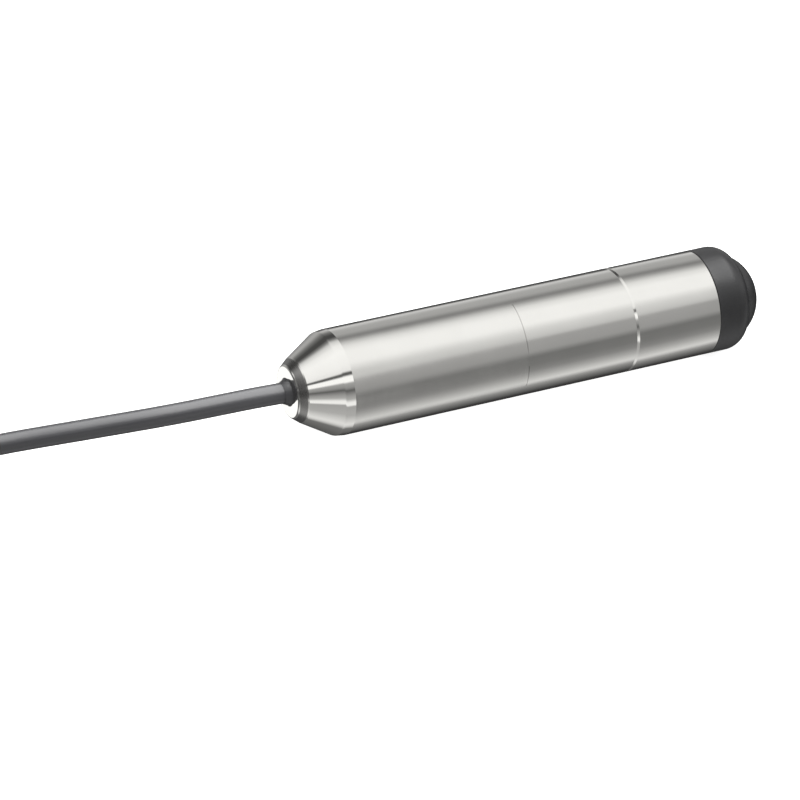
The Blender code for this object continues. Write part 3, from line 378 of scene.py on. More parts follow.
# %% The whole path
QUARTER_STEP = 1 / 14
quarters = np.arange(0.0, 4 * FULL_TURNS, QUARTER_STEP)
k = (quarters / 4).astype(int)
shift = ease(np.mod(quarters, 4.0) - 3)
radius = turn_r[k] + (turn_r[k + 1] - turn_r[k]) * shift
layer = turn_layer[k] + (turn_layer[k + 1] - turn_layer[k]) * shift
wound = hank_point(quarters, radius, HANK_RISE + CABLE_R + LAYER_RISE * layer)

# The last half turn lies on top, and its end rests on the near run.
TOP_Z = HANK_RISE + CABLE_R + LAYER_RISE * 5
HALF_TURN = 2.06  # in quarters, so a little more than half a turn
quarters = 4 * FULL_TURNS + np.arange(0.0, HALF_TURN, QUARTER_STEP)
over = hank_point(quarters, WIDE[1], TOP_Z + LAYER_RISE)
END_X, END_Y = -0.0080, -0.0205
END_RISE = 0.00575  # the radius of the turn below, the sleeve's own, and a hair between them
JACKET_END = HANK_CENTRE + (END_X, END_Y, TOP_Z + END_RISE - sag_at(END_X, END_Y))
last = JACKET_END + np.array([
    (-0.0180, -0.0005, -0.0003), (-0.0090, 0.0, 0.0), (-0.0045, 0.0, 0.0), (0.0, 0.0, 0.0)])
path = smooth(np.vstack([SEEN, wound, over, last]), POINT_GAP)
print("cable as laid out:", round(length_of(path), 3), "m in", len(path), "points")

# %% [markdown]
# ## Turns lie beside each other, not in each other
# Where one layer shifts inwards and the next outwards, turns cross and would cut into each other. Rounds of
# pushing fix that: every two points that are nearer than the cable's diameter move apart by half of what is
# missing. The push is smeared along the cable, so that no bend gets tight. All pairs are measured at once.

# %% Push the turns apart
PUSH_ROUNDS, SMEARS = 60, 24
NEIGHBOURS = 4  # points this near along the cable don't push each other
FLOOR_PLAY = 0.00005


def pushed_apart(path, diameter, free):
    """Adds, to each point, half the overlap with every other point along the line between them, smoothed over
    its neighbours. Points keep above the floor, and free is 1 where a point may move."""
    path = path.copy()
    count = np.arange(len(path))
    apart = np.abs(count[:, None] - count[None, :]) > NEIGHBOURS
    for _ in range(PUSH_ROUNDS):
        gap = path[:, None, :] - path[None, :, :]
        distance = np.sqrt((gap * gap).sum(-1)) + 1e-9
        missing = np.where(apart, np.clip(diameter - distance, 0, None), 0.0)
        push = 0.5 * (gap * (missing / distance)[..., None]).sum(1)
        for _ in range(SMEARS):
            push[1:-1] = 0.25 * push[:-2] + 0.5 * push[1:-1] + 0.25 * push[2:]
        path += push * free[:, None]
        path[:, 2] = np.maximum(path[:, 2], CABLE_R + FLOOR_PLAY)
    least = float((distance[apart] - diameter).min())
    print("least gap between turns:", round(1000 * least, 2), "mm")
    return path


free = np.ones(len(path))
seen_points, end_points = len(smooth(SEEN, POINT_GAP)), 14
free[:seen_points] = 0.0
free[-end_points:] = 0.0
path = pushed_apart(path, 2 * CABLE_R, free)

# %% [markdown]
# ## Sweeping a section along a path
# The cable is its round section carried along the path. At each point the section stands across the path:
# one axis is level, square to the path, and the other completes the frame. The cable never stands upright,
# so that frame never fails.

# %% Tubes
def across(path):
    """The two axes square to the path: side = direction x up, and lift = side x direction."""
    along = np.gradient(path, axis=0)
    along /= np.linalg.norm(along, axis=1)[:, None]
    side = np.cross(along, (0.0, 0.0, 1.0))
    side /= np.linalg.norm(side, axis=1)[:, None]
    return side, np.cross(side, along)


def tube(name, path, radius, look, slot, sides=18, **more):
    """A round tube: point + radius (side cos t + lift sin t), with the ends closed by a fan to the middle."""
    side, lift = across(path)
    t = np.linspace(0, 2 * np.pi, sides, endpoint=False)
    rim = side[:, None] * np.cos(t)[:, None] + lift[:, None] * np.sin(t)[:, None]
    points = path[:, None] + radius * rim
    first, end = (np.repeat(path[k, None, None], sides, 1) for k in (0, -1))
    points = np.concatenate([first, points, end])
    travelled = np.concatenate([[0.0], np.cumsum(np.linalg.norm(np.diff(path, axis=0), axis=1))])
    travelled = np.pad(travelled, 1, mode="edge")
    winding = np.stack([
        np.broadcast_to(np.cos(t), points.shape[:2]),
        np.broadcast_to(np.sin(t), points.shape[:2]),
        np.broadcast_to(travelled[:, None], points.shape[:2]),
    ], -1)
    faces = grid_faces(len(points), sides)
    return piece(name, points, faces, look, slot, sharp=60.0, extra={"winding": winding}, **more)


cable_nodes = ("cable_run", "cable_coil", "cable_end")
cable = tube("cable", path, CABLE_R, jacket, "cable_jacket", replaces=cable_nodes)
print("cable:", round(length_of(path), 3), "m long, lowest", round(1000 * path[:, 2].min(), 2), "mm")

# %% [markdown]
# ## The free end
# The cable ends as it is delivered: a shrunk sleeve over the cut jacket, three insulated cores with crimped
# end sleeves, and the vent tube, which lets the sensor feel the air pressure, with a small filter cap.

# %% Finishes of the free end
# Heat-shrink polyolefin is matt, thin PVC insulation is glossy, the vent tube lets some light through, and
# the filter is sintered from grains.
shrink = grained("polyolefin_heat_shrink", "#1B1B1C", "#232324", 0.5, 0.03, (0.42, 0.56))
red_pvc = grained("red_pvc_insulation", "#A01712", "#B52019", 0.4, 0.006, (0.30, 0.40))
white_pvc = grained("white_pvc_insulation", "#D9D8D2", "#E6E5E0", 0.4, 0.006, (0.30, 0.40))
blue_pvc = grained("blue_pvc_insulation", "#1B3F8F", "#234C9F", 0.4, 0.006, (0.30, 0.40))
vent_nylon = grained(
    "translucent_polyamide_tube", "#D5DAD8", "#E4E7E5", 0.6, 0.004, (0.20, 0.28), Transmission_Weight=0.45)
filter_white = grained("sintered_filter_plastic", "#DDDBD3", "#EAE8E1", 0.25, 0.03, (0.55, 0.70))
tin = grained("tinned_copper", "#C9C7C0", "#D6D4CE", 0.3, 0.008, (0.26, 0.38), cloud_mm=2.0, Metallic=1.0)

# %% Cores and vent tube
CORE_R, VENT_R = 0.0006, 0.00075
CORE_LENGTH, VENT_LENGTH, SPREAD = 0.0215, 0.0185, 0.0013
FERRULE_R, FILTER_R = 0.0012, 0.0024
INSIDE = -0.0010  # cores and vent tube start this far inside the jacket
END_GAP = 0.0008
# Loose pieces rest on the top turns.
REST_Z = TOP_Z + CABLE_R - sag_at(END_X, END_Y) + PLAY
FAN = {
    "supply": (-1, 0.0052, red_pvc, "core_red"),
    "screen": (0, 0.0017, white_pvc, "core_white"),
    "signal": (1, -0.0018, blue_pvc, "core_blue"),
}
end_pieces, core_tips = [], {}
for name, (side, fan, look, slot) in FAN.items():
    start = JACKET_END + (INSIDE, -side * SPREAD, 0.0002 if side else 1.15 * SPREAD)
    tip = JACKET_END + (CORE_LENGTH, fan, 0.0)
    tip[2] = REST_Z + FERRULE_R
    bend = np.array([JACKET_END[0] + 0.6 * CORE_LENGTH, 0.7 * tip[1] + 0.3 * start[1], start[2]])
    way = smooth([start, start + (0.0075, 0, 0), bend, tip + (-0.0030, 0, 0.0002), tip], END_GAP)
    core = tube(f"core_{name}_insulated", way, CORE_R, look, slot, replaces=("core_" + name,))
    end_pieces.append(core)
    core_tips[name] = tip
vent_tip = JACKET_END + (VENT_LENGTH, -0.0060, 0.0)
vent_tip[2] = REST_Z + FILTER_R
vent_start = JACKET_END + (INSIDE, 0.0, -SPREAD)
vent_way = smooth([
    vent_start, vent_start + (0.0080, 0, 0), JACKET_END + (0.6 * VENT_LENGTH, -0.0027, -SPREAD - 0.0003),
    JACKET_END + (0.85 * VENT_LENGTH, -0.0054, -SPREAD + 0.0003), vent_tip], END_GAP)
vent_tube = tube("vent_tube", vent_way, VENT_R, vent_nylon, "vent_plastic", replaces=("vent_tube_end",))
end_pieces.append(vent_tube)

# %% Small pieces turned about the cable's own line
def turned_x(name, profile, place, look, slot, closed=False, sides=40, wave=None, **more):
    """Carries a profile of (radius, distance) round a line along X: y = r cos t, z = r sin t. The wave gives
    a radius that also changes with the angle."""
    t = np.linspace(0, 2 * np.pi, sides, endpoint=False)
    r, s = profile[:, :1], profile[:, 1:]
    if wave is not None:
        r = r * wave(t, s)
    points = np.stack([s + 0 * t, r * np.cos(t), r * np.sin(t)], -1) + place
    return piece(name, points, grid_faces(len(profile), sides, close_rows=closed), look, slot, **more)


FERRULE_LENGTH, CUFF_LENGTH, BARREL_R = 0.0080, 0.0026, 0.00052
RIB_PITCH, CRIMP_STARTS = 0.0009, 0.0032


def crimp(t, s):
    """The crimping tool presses a square section with cross ribs into the barrel: 1 + 0.1 cos 4t - 0.05 cos
    of the ribs' phase, from where the crimp starts."""
    pressed = 0.10 * np.cos(4 * t) - 0.05 * np.cos(s * 2 * np.pi / RIB_PITCH)
    return 1 + pressed * ease((s - CRIMP_STARTS) / 0.0006)


cuff = rounded([
    (CORE_R, 0.0), (FERRULE_R, 0.0, 0.00015), (FERRULE_R, 0.0018, 0.0002), (0.0008, CUFF_LENGTH, 0.0001),
    (CORE_R, CUFF_LENGTH)])
s = np.linspace(CUFF_LENGTH - 0.0004, FERRULE_LENGTH, 30)
barrel = np.vstack([[0.0, s[0]], np.stack([np.full(30, BARREL_R), s], -1), [0.0, s[-1]]])
OVERLAP = np.array([PLAY - 0.0004, 0.0, 0.0])  # a cuff or a filter cap slips this far over its core or tube
for name, (side, fan, look, slot) in FAN.items():
    place = core_tips[name] + OVERLAP
    end_pieces.append(turned_x(f"ferrule_{name}_cuff", cuff, place, look, slot, closed=True))
    end_pieces.append(turned_x(
        f"ferrule_{name}_barrel", barrel, place, tin, "tin", wave=crimp, replaces=("ferrule_" + name,)))

# %% Sleeve and filter cap
SLEEVE_R, SLEEVE_WALL, SLEEVE_HALF, SHRINK = 0.00305, 0.00035, 0.0060, 0.00055
s = np.linspace(-SLEEVE_HALF, SLEEVE_HALF, 40)
shrunk_r = SLEEVE_R - SHRINK * ease((s - 0.0002) / 0.0034) + 0.00010 * np.cos(s * 2 * np.pi / 0.0046)
sleeve = np.vstack([np.stack([shrunk_r, s], -1), np.stack([shrunk_r - SLEEVE_WALL, s], -1)[::-1]])


def wrinkle(t, s):
    """Shallow waves that twist along the sleeve where it has shrunk past the jacket's end."""
    return 1 + 0.018 * np.sin(3 * t + 400 * s) * ease((s + 0.001) / 0.003)


end_pieces.append(turned_x(
    "shrink_sleeve", sleeve, JACKET_END, shrink, "sleeve", closed=True, wave=wrinkle,
    replaces=("end_sleeve",)))
filter_profile = rounded([
    (0.0, 0.0), (VENT_R + 0.0003, 0.0, 0.0001), (FILTER_R, 0.0016, 0.0003), (FILTER_R, 0.0070, 0.0005),
    (0.0013, 0.0070, 0.0001), (0.0011, 0.0066, 0.0001), (0.0, 0.0066)])
end_pieces.append(turned_x(
    "vent_filter_cap", filter_profile, vent_tip + OVERLAP, filter_white, "white_plastic",
    replaces=("vent_filter",)))

# %% [markdown]
# ## The ties
# Two nylon ties hold the hank. A tie is a flat strap that goes round the bundle and through its own head,
# where a pawl grips its teeth, and the tail is cut off short. The strap is pulled tight, so its line runs
# straight from turn to turn and bends round the outermost ones. The head is a block rounded by a power
# formula.

# %% Tie finish and rounded block
nylon = grained("black_polyamide_tie", "#19191A", "#212122", 0.4, 0.008, (0.34, 0.44))


def signed_power(value, power):
    """The value's size raised to a power, with its sign kept. A power below 1 squares a circle up."""
    return np.sign(value) * np.abs(value) ** power


def block_points(centre, half, axes, power=0.25, rows=24, columns=40):
    """A rounded block: a ball's point (cos v cos u, cos v sin u, sin v) with every factor raised to a power
    below 1, stretched by half sizes along three axes."""
    v = np.linspace(-np.pi / 2, np.pi / 2, rows)[:, None]
    u = np.linspace(0, 2 * np.pi, columns, endpoint=False)
    level, height = signed_power(np.cos(v), power), signed_power(np.sin(v), power)
    local = np.stack([
        level * signed_power(np.cos(u), power), level * signed_power(np.sin(u), power), height + 0 * u], -1)
    return centre + (local * half) @ np.array(axes), grid_faces(rows, columns)


# %% Straps, heads and tails
TINY_TURN = 0.001  # keeps centres in one line from counting as a whole turn


def pulled_round(centres, reach, steps=8):
    """A line tight round discs of one radius: at each centre an arc turns from square to the edge before it
    to square to the edge after it. The centres go round anticlockwise."""
    before, after = centres - np.roll(centres, 1, 0), np.roll(centres, -1, 0) - centres
    start = np.arctan2(-before[:, 0], before[:, 1])
    turn = np.mod(np.arctan2(-after[:, 0], after[:, 1]) - start + TINY_TURN, 2 * np.pi) - TINY_TURN
    a = start[:, None] + turn[:, None] * np.linspace(0, 1, steps + 1)
    line = (centres[:, None] + reach * np.stack([np.cos(a), np.sin(a)], -1)).reshape(-1, 2)
    return line[np.linalg.norm(line - np.roll(line, 1, 0), axis=1) > 1e-6]


TIE_T, TIE_W = 0.0008, 0.0036
HEAD_HALF, TAIL_HALF = (0.0026, 0.0025, 0.0020), (0.0028, TIE_W / 2 - 0.0002, 0.0005)
wide, up = np.array([1.0, 0.0, 0.0]), np.array([0.0, 0.0, 1.0])
for name, (place, side) in TIES.items():
    out = np.array([0.0, side, 0.0])
    base = HANK_CENTRE + (place, 0.0, HANK_RISE + CABLE_R)
    # Turns that the strap bends round, as distance from the hank's middle and layer.
    corners = [(WIDE[2], 0), (WIDE[0], 0), (WIDE[0], 4), (NARROW[1], 5), (NARROW[0], 5), (WIDE[2], 4)]
    if name == "far":
        corners.insert(4, (WIDE[1], 6))
    loop = pulled_round(np.array(corners) * (1.0, LAYER_RISE), CABLE_R + 0.0001 + TIE_T / 2)
    loop = base + loop[:, :1] * out + loop[:, 1:] * up
    t = np.linspace(0, 2 * np.pi, 24, endpoint=False)
    flat = np.stack([signed_power(np.cos(t), 0.35) * TIE_W / 2, signed_power(np.sin(t), 0.6) * TIE_T / 2], -1)
    along = np.roll(loop, -1, 0) - np.roll(loop, 1, 0)
    along /= np.linalg.norm(along, axis=1)[:, None]
    lift = np.cross(along, wide)
    strap = loop[:, None] + wide * flat[None, :, :1] + lift[:, None] * flat[None, :, 1:]
    end_pieces.append(piece(
        "tie_strap_" + name, strap, grid_faces(len(loop), 24, close_rows=True), nylon, "tie",
        replaces=("coil_tie_" + name,)))
    # The near tie's head is on top. The far one's is inside the hank, clear of the half turn on top.
    if name == "near":
        middle, away, run = base + out * WIDE[1] + up * (5 * LAYER_RISE + CABLE_R + TIE_T), up, out
    else:
        middle, away, run = base + out * (WIDE[2] - CABLE_R - TIE_T) + up * 2.5 * LAYER_RISE, -out, up
    points, faces = block_points(middle + away * 0.0013, HEAD_HALF, (run, wide, away))
    end_pieces.append(piece("tie_head_" + name, points, faces, nylon, "tie"))
    points, faces = block_points(middle + away * 0.0014 + run * 0.0042, TAIL_HALF, (run, wide, away), 0.3)
    end_pieces.append(piece("tie_tail_" + name, points, faces, nylon, "tie"))

# %% [markdown]
# ## The turned steel body
# The body is stainless steel, turned on a lathe and polished. The tool leaves rings round the axis, far too
# fine to see one by one, which blur what the steel reflects along the body but not across it. A noise that
# changes quickly along the axis and slowly round it gives that. The rings are drawn 0.15 mm apart, several
# times coarser than real ones.

# %% Polished turned steel
def turned_steel(name, colour_a, colour_b, ring_mm, depth_mm, gloss):
    """Turned metal with rings across the axis: noise of (x / ring, y, z) gives both height and gloss."""
    made, tree, shader = blank(name, Metallic=1.0)
    place = add(tree, "ShaderNodeTexCoord").outputs["Object"]
    stretch = add(tree, "ShaderNodeMapping", {"Vector": place, "Scale": (1000 / ring_mm, 30.0, 30.0)})
    rings = add(tree, "ShaderNodeTexNoise", {
        "Vector": stretch.outputs["Vector"], "Scale": 1.0, "Detail": 2.0})
    cloud = add(tree, "ShaderNodeTexNoise", {"Vector": place, "Scale": 1000 / 9.0, "Detail": 4.0})
    colour = add(tree, "ShaderNodeMix", {
        "Factor": cloud.outputs["Fac"], "A": linear(colour_a), "B": linear(colour_b)}, data_type="RGBA")
    both = add(tree, "ShaderNodeMath", {0: rings.outputs["Fac"], 1: cloud.outputs["Fac"]}, operation="ADD")
    # The sum of the two noises stays between 0.7 and 1.3.
    rough = add(tree, "ShaderNodeMapRange", {
        "Value": both.outputs["Value"], "From Min": 0.7, "From Max": 1.3,
        "To Min": gloss[0], "To Max": gloss[1]})
    bump = add(tree, "ShaderNodeBump", {
        "Height": rings.outputs["Fac"], "Distance": depth_mm / 1000, "Strength": 1.0})
    tree.links.new(colour.outputs["Result"], shader.inputs["Base Color"])
    tree.links.new(rough.outputs["Result"], shader.inputs["Roughness"])
    tree.links.new(bump.outputs["Normal"], shader.inputs["Normal"])
    return made


steel = turned_steel("polished_turned_stainless_steel", "#D6D5D1", "#DEDDD9", 0.15, 0.0008, (0.09, 0.15))

# %% [markdown]
# ## The satin field
# Between the cone and a faint line, one side of the tube is slightly duller than the rest. The cone is
# polished brighter, and the bevel in front of it is duller and a darker grey. All that is worked out from the
# place alone: the station along the axis, and the angle round it. A mask is 1 where something holds and 0
# elsewhere.

# %% Station and angle as nodes
field_steel = steel.copy()
field_steel.name = "polished_steel_with_satin_field"
tree = field_steel.node_tree
shader = tree.nodes["Principled BSDF"]
FIELD_END, FIELD_MIDDLE, FIELD_HALF = 0.0603, math.radians(157.0), math.radians(52.0)
place = add(tree, "ShaderNodeTexCoord").outputs["Object"]
parts = add(tree, "ShaderNodeSeparateXYZ", {0: place}).outputs
station = add(tree, "ShaderNodeMath", {0: parts["X"], 1: X_START}, operation="SUBTRACT").outputs[0]
height = add(tree, "ShaderNodeMath", {0: parts["Z"], 1: BODY_R}, operation="SUBTRACT").outputs[0]
angle = add(tree, "ShaderNodeMath", {0: height, 1: parts["Y"]}, operation="ARCTAN2").outputs[0]
aside = add(tree, "ShaderNodeMath", {0: angle, 1: FIELD_MIDDLE}, operation="SUBTRACT").outputs[0]
aside = add(tree, "ShaderNodeMath", {0: aside, 1: math.pi, 2: -math.pi}, operation="WRAP").outputs[0]
aside = add(tree, "ShaderNodeMath", {0: aside}, operation="ABSOLUTE").outputs[0]
from_line = add(tree, "ShaderNodeMath", {0: station, 1: FIELD_END + 0.0001}, operation="SUBTRACT").outputs[0]
from_line = add(tree, "ShaderNodeMath", {0: from_line}, operation="ABSOLUTE").outputs[0]

# %% Masks
BEVEL_ENDS, SHOULDER_ENDS = 0.0021, 0.0126
masks = {}
for name, value, none_at, all_at in (
        ("in_angle", aside, FIELD_HALF, FIELD_HALF - 0.06),
        ("in_length", station, FIELD_END, FIELD_END - 0.0003),
        ("behind_cone", station, SHOULDER_ENDS, SHOULDER_ENDS + 0.0003),
        ("on_bevel", station, BEVEL_ENDS, BEVEL_ENDS - 0.0002),
        ("off_front", station, 0.0003, 0.0005),
        ("on_line", from_line, 0.00022, 0.00006),
        ("on_top", angle, math.radians(170), math.radians(158))):
    masks[name] = add(tree, "ShaderNodeMapRange", {
        "Value": value, "From Min": none_at, "From Max": all_at}, interpolation_type="SMOOTHSTEP").outputs[0]
together = {}
for name, factors in {
        "field": ("in_angle", "in_length", "behind_cone"),
        "bevel": ("on_bevel", "off_front"),
        "line": ("on_line", "in_angle", "on_top")}.items():
    together[name] = masks[factors[0]]
    for factor in factors[1:]:
        both = {0: together[name], 1: masks[factor]}
        together[name] = add(tree, "ShaderNodeMath", both, operation="MULTIPLY").outputs[0]

# %% Gloss and colour of the field, the cone and the bevel
CONE_POLISH, FIELD_DULLER, BEVEL_DULLER, LINE_STRENGTH = 0.55, 0.07, 0.2, 0.45
rough = shader.inputs["Roughness"].links[0].from_socket
polish = {0: masks["behind_cone"], 1: 1 - CONE_POLISH, 2: CONE_POLISH}
polish = add(tree, "ShaderNodeMath", polish, operation="MULTIPLY_ADD").outputs[0]
rough = add(tree, "ShaderNodeMath", {0: rough, 1: polish}, operation="MULTIPLY").outputs[0]
for name, duller in (("field", FIELD_DULLER), ("bevel", BEVEL_DULLER)):
    more = {0: together[name], 1: duller, 2: rough}
    rough = add(tree, "ShaderNodeMath", more, operation="MULTIPLY_ADD").outputs[0]
tree.links.new(rough, shader.inputs["Roughness"])
# The faint line is a scribed ring, and the bevel is darker than the polished steel.
colour = shader.inputs["Base Color"].links[0].from_socket
line = add(tree, "ShaderNodeMath", {0: together["line"], 1: LINE_STRENGTH}, operation="MULTIPLY").outputs[0]
for mask, darker in ((line, "#7A7975"), (together["bevel"], "#8C8B89")):
    colour = add(tree, "ShaderNodeMix", {
        "Factor": mask, "A": colour, "B": linear(darker)}, data_type="RGBA").outputs["Result"]
tree.links.new(colour, shader.inputs["Base Color"])

# %% [markdown]
# ## Cone and tube
# Cone and tube are one turned piece. In front the cone has a bevel and a flat ring with the collar in its
# mouth. Behind the mouth are the bores for the gland and the electronics and the socket for the sensor
# head, all part of one closed profile.

# %% Steel tube with its cone
MOUTH_R, MOUTH_DEPTH, CABLE_HOLE_R = 0.0036, 0.0024, CABLE_R + PLAY
GLAND_R, BORE_R, SOCKET_R = 0.0065, 0.0116, 0.0123
S_GLAND, S_BORE, S_HEAD_REAR = 0.0050, 0.0185, 0.0824
FRONT_R, BEVEL_R, BEVEL_S = 0.0066, 0.0084, 0.0023
# The cone ends in a very flat second bevel, which meets the tube at 8 degrees.
S_SHOULDER, SHOULDER_ANGLE = 0.01255, math.radians(8.0)
shoulder_r = BODY_R - (S_SHOULDER - S_CONE) * math.tan(SHOULDER_ANGLE)
tube_profile = rounded([
    (SOCKET_R, S_JOINT + 0.00025), (BODY_R, S_JOINT + 0.00025, 0.00005), (BODY_R, S_SHOULDER, 0.0006),
    (shoulder_r, S_CONE, 0.0016), (BEVEL_R, BEVEL_S, 0.0002), (FRONT_R, 0.0, 0.0006), (MOUTH_R, 0.0, 0.0001),
    (MOUTH_R, MOUTH_DEPTH), (CABLE_HOLE_R, MOUTH_DEPTH), (CABLE_HOLE_R, S_GLAND), (GLAND_R, S_GLAND),
    (GLAND_R, S_BORE), (BORE_R, S_BORE), (BORE_R, S_HEAD_REAR - 0.0006), (SOCKET_R, S_HEAD_REAR - PLAY)])
turned("steel_tube", tube_profile, field_steel, "steel", replaces=("housing_tube",))

# %% [markdown]
# ## Sensor head
# The head is a separate turned piece. Its rear edge has a shallow chamfer where it meets the tube, which
# shows as a fine bright line. In front it has the spigot for the nose cap, with a groove for the ring that
# the cap snaps over, and the lip round the pressure port.

# %% Steel sensor head
SPIGOT_R, S_SPIGOT, RING_CORD = 0.0114, S_CAP + 0.0080, 0.0009
POCKET_R, PORT_R, LIP = 0.0093, 0.0065, 0.0020
S_RING, RING_HALF = S_CAP + 0.0036, 0.00075
JOINT_BEVEL, JOINT_DEPTH = 0.00098, 0.00033
PLUG_R, SEAL_R, SEAL_FROM, SEAL_TO = 0.0120, 0.0105, S_JOINT - 0.0036, S_JOINT - 0.0054
groove_r = SPIGOT_R - RING_CORD - PLAY
head_profile = rounded([
    (PORT_R, S_SPIGOT, 0.0003), (SPIGOT_R, S_SPIGOT, 0.0003), (SPIGOT_R, S_RING + RING_HALF, 0.0001),
    (groove_r, S_RING + RING_HALF), (groove_r, S_RING - RING_HALF), (SPIGOT_R, S_RING - RING_HALF, 0.0001),
    (SPIGOT_R, S_CAP), (BODY_R, S_CAP, 0.00015), (BODY_R, S_JOINT + JOINT_BEVEL, 0.0001),
    (BODY_R - JOINT_DEPTH, S_JOINT + PLAY, 0.00004), (PLUG_R, S_JOINT + PLAY), (PLUG_R, SEAL_FROM),
    (SEAL_R, SEAL_FROM), (SEAL_R, SEAL_TO), (PLUG_R, SEAL_TO), (PLUG_R, S_HEAD_REAR, 0.0002),
    (POCKET_R, S_HEAD_REAR), (POCKET_R, S_SPIGOT - LIP), (PORT_R, S_SPIGOT - LIP)])
turned("steel_head", head_profile, steel, "steel", replaces=("sensor_head",))

# %% [markdown]
# ## Rubber collar
# A soft dark collar fills the cone's mouth round the cable and stands a little proud of it, with a rounded
# lip that tapers to the jacket. It keeps grit out and eases the bend. The hidden seals are of a blacker
# rubber.

# %% Collar in the mouth
seal_rubber = grained("black_nitrile_rubber", "#161616", "#1E1E1E", 0.3, 0.01, (0.45, 0.58))
collar_rubber = grained("dark_chloroprene_rubber", "#202021", "#28282A", 0.3, 0.01, (0.34, 0.44))
COLLAR_END, ON_JACKET, IN_MOUTH = MOUTH_DEPTH - PLAY, CABLE_R + 0.00002, MOUTH_R - 0.00002
collar_profile = rounded([
    (ON_JACKET, COLLAR_END), (IN_MOUTH, COLLAR_END), (IN_MOUTH, 0.0002, 0.0003), (0.0031, -0.0008, 0.0008),
    (ON_JACKET, -0.0016)])
collar = turned("rubber_collar", collar_profile, collar_rubber, "rubber", replaces=("exit_collar",))
end_pieces.append(collar)

# %% [markdown]
# ## The nose cap
# The cap is moulded in black plastic: a straight band as wide as the body, a round shoulder, and a domed
# nose with one inlet in the middle and six small ones round it, through which the liquid reaches the cell.
# Inside are the socket for the spigot and a chamber. It is turned like the rest, then drilled with a
# Boolean.

# %% Cap profile
SHOULDER_R, BAND, NOSE_STEP, NOSE_WALL = 0.0050, 0.0055, 0.00195, 0.0020
nose_r, nose_base = BODY_R - NOSE_STEP, BAND + PLAY
nose_height, INLET_R = CAP_LENGTH - nose_base, 0.0020


def dome(radius, height, start, end, count):
    """An ellipse's arc of that radius and height, between two angles: r = R cos a, s = base + H sin a."""
    a = np.linspace(start, end, count)
    return np.stack([radius * np.cos(a), nose_base + height * np.sin(a)], -1)


# The shoulder's arc and the dome cross where the arc's point is inside the dome's ellipse.
a = np.linspace(0, np.pi / 2, 400)
shoulder = np.stack([BODY_R - SHOULDER_R + SHOULDER_R * np.cos(a), BAND + SHOULDER_R * np.sin(a)], -1)
above_base = np.maximum(shoulder[:, 1] - nose_base, 0)
inside = (shoulder[:, 0] / nose_r) ** 2 + (above_base / nose_height) ** 2 <= 1
cut = int(np.argmax(inside))
print("shoulder meets the nose at radius", round(1000 * shoulder[cut, 0], 2), "mm")
join_angle = math.acos(min(1.0, shoulder[cut, 0] / nose_r))
outside = dome(nose_r, nose_height, math.acos((INLET_R + 0.0003) / nose_r), join_angle, 40)
arc_in = shoulder[:cut][::-1][:: max(1, cut // 24)]

# %% Cap mesh and its inlets
socket_r, socket_end = SPIGOT_R + PLAY, 0.0083
room_r, room_height = nose_r - NOSE_WALL, nose_height - NOSE_WALL
room_from, room_to = math.asin((socket_end - nose_base) / room_height), math.acos(INLET_R / room_r)
room = dome(room_r, room_height, room_from, room_to, 20)
rim = rounded([
    (INLET_R, room[-1, 1]), (INLET_R, outside[0, 1], 0.00025), tuple(outside[0]), tuple(outside[1])])[:-1]
mouth_edge = rounded([
    (BODY_R, 0.0005), (BODY_R, 0.0001, 0.0002), (socket_r, 0.0001, 0.0001), (socket_r, 0.002)])[1:-1]
cap_profile = np.vstack([
    outside, arc_in, [[BODY_R, 0.0006]], mouth_edge, [[socket_r, socket_end]], room, rim])
cap_profile[:, 1] += S_CAP
acetal = grained("black_moulded_acetal", "#1A1A1B", "#202021", 0.28, 0.012, (0.36, 0.46), cloud_mm=8.0)
cap = turned(
    "nose_cap", cap_profile, acetal, "cap_plastic", body="cap", replaces=("protective_cap",), sides=192)
SMALL_INLET_R, INLET_CIRCLE_R, DRILL_SIDES = 0.0012, 0.0065, 32
DRILL_FROM, DRILL_TO = S_CAP + 0.0080, S_CAP + 0.0200
t = np.linspace(0, 2 * np.pi, DRILL_SIDES, endpoint=False)
drills, faces, count = [], [], 0
for spot in np.radians(np.arange(30, 390, 60)):
    middle = INLET_CIRCLE_R * np.array([math.cos(spot), math.sin(spot)]) + (0.0, BODY_R)
    ring = SMALL_INLET_R * np.stack([np.cos(t), np.sin(t)], -1)
    for station, r in ((DRILL_FROM, 0.0), (DRILL_FROM, 1.0), (DRILL_TO, 1.0), (DRILL_TO, 0.0)):
        drills.append(np.column_stack([np.full(DRILL_SIDES, X_START + station), middle + ring * r]))
    faces.append(grid_faces(4, DRILL_SIDES) + count)
    count += 4 * DRILL_SIDES
cutter = piece("inlet_drills", np.vstack(drills), np.vstack(faces), acetal, "cap_plastic", body="cap")
drilling = cap.modifiers.new("Inlets", "BOOLEAN")
drilling.operation, drilling.solver, drilling.object = "DIFFERENCE", "EXACT", cutter
graph = bpy.context.evaluated_depsgraph_get()
drilled = bpy.data.meshes.new_from_object(cap.evaluated_get(graph))
cap.modifiers.clear()
cap.data = drilled
drilled.set_sharp_from_angle(angle=math.radians(35))
bpy.data.objects.remove(cutter)
print("nose cap after drilling:", len(drilled.polygons), "faces")

# %% [markdown]
# ## What shows when the cap is off
# With the cap pulled off one sees the ring that it snaps over, the lip, and behind the port the seal and
# the ceramic diaphragm of the measuring cell. They are turned like the body.

# %% Cell, seals and rings
ceramic = grained("sintered_alumina_ceramic", "#E3E0D6", "#EDEAE1", 0.2, 0.003, (0.22, 0.32))


def ring_profile(middle_r, cord_r, station, count=28):
    """A circle of radius cord_r round (middle_r, station)."""
    a = np.linspace(0, 2 * np.pi, count, endpoint=False)
    return np.stack([middle_r + cord_r * np.cos(a), station - cord_r * np.sin(a)], -1)


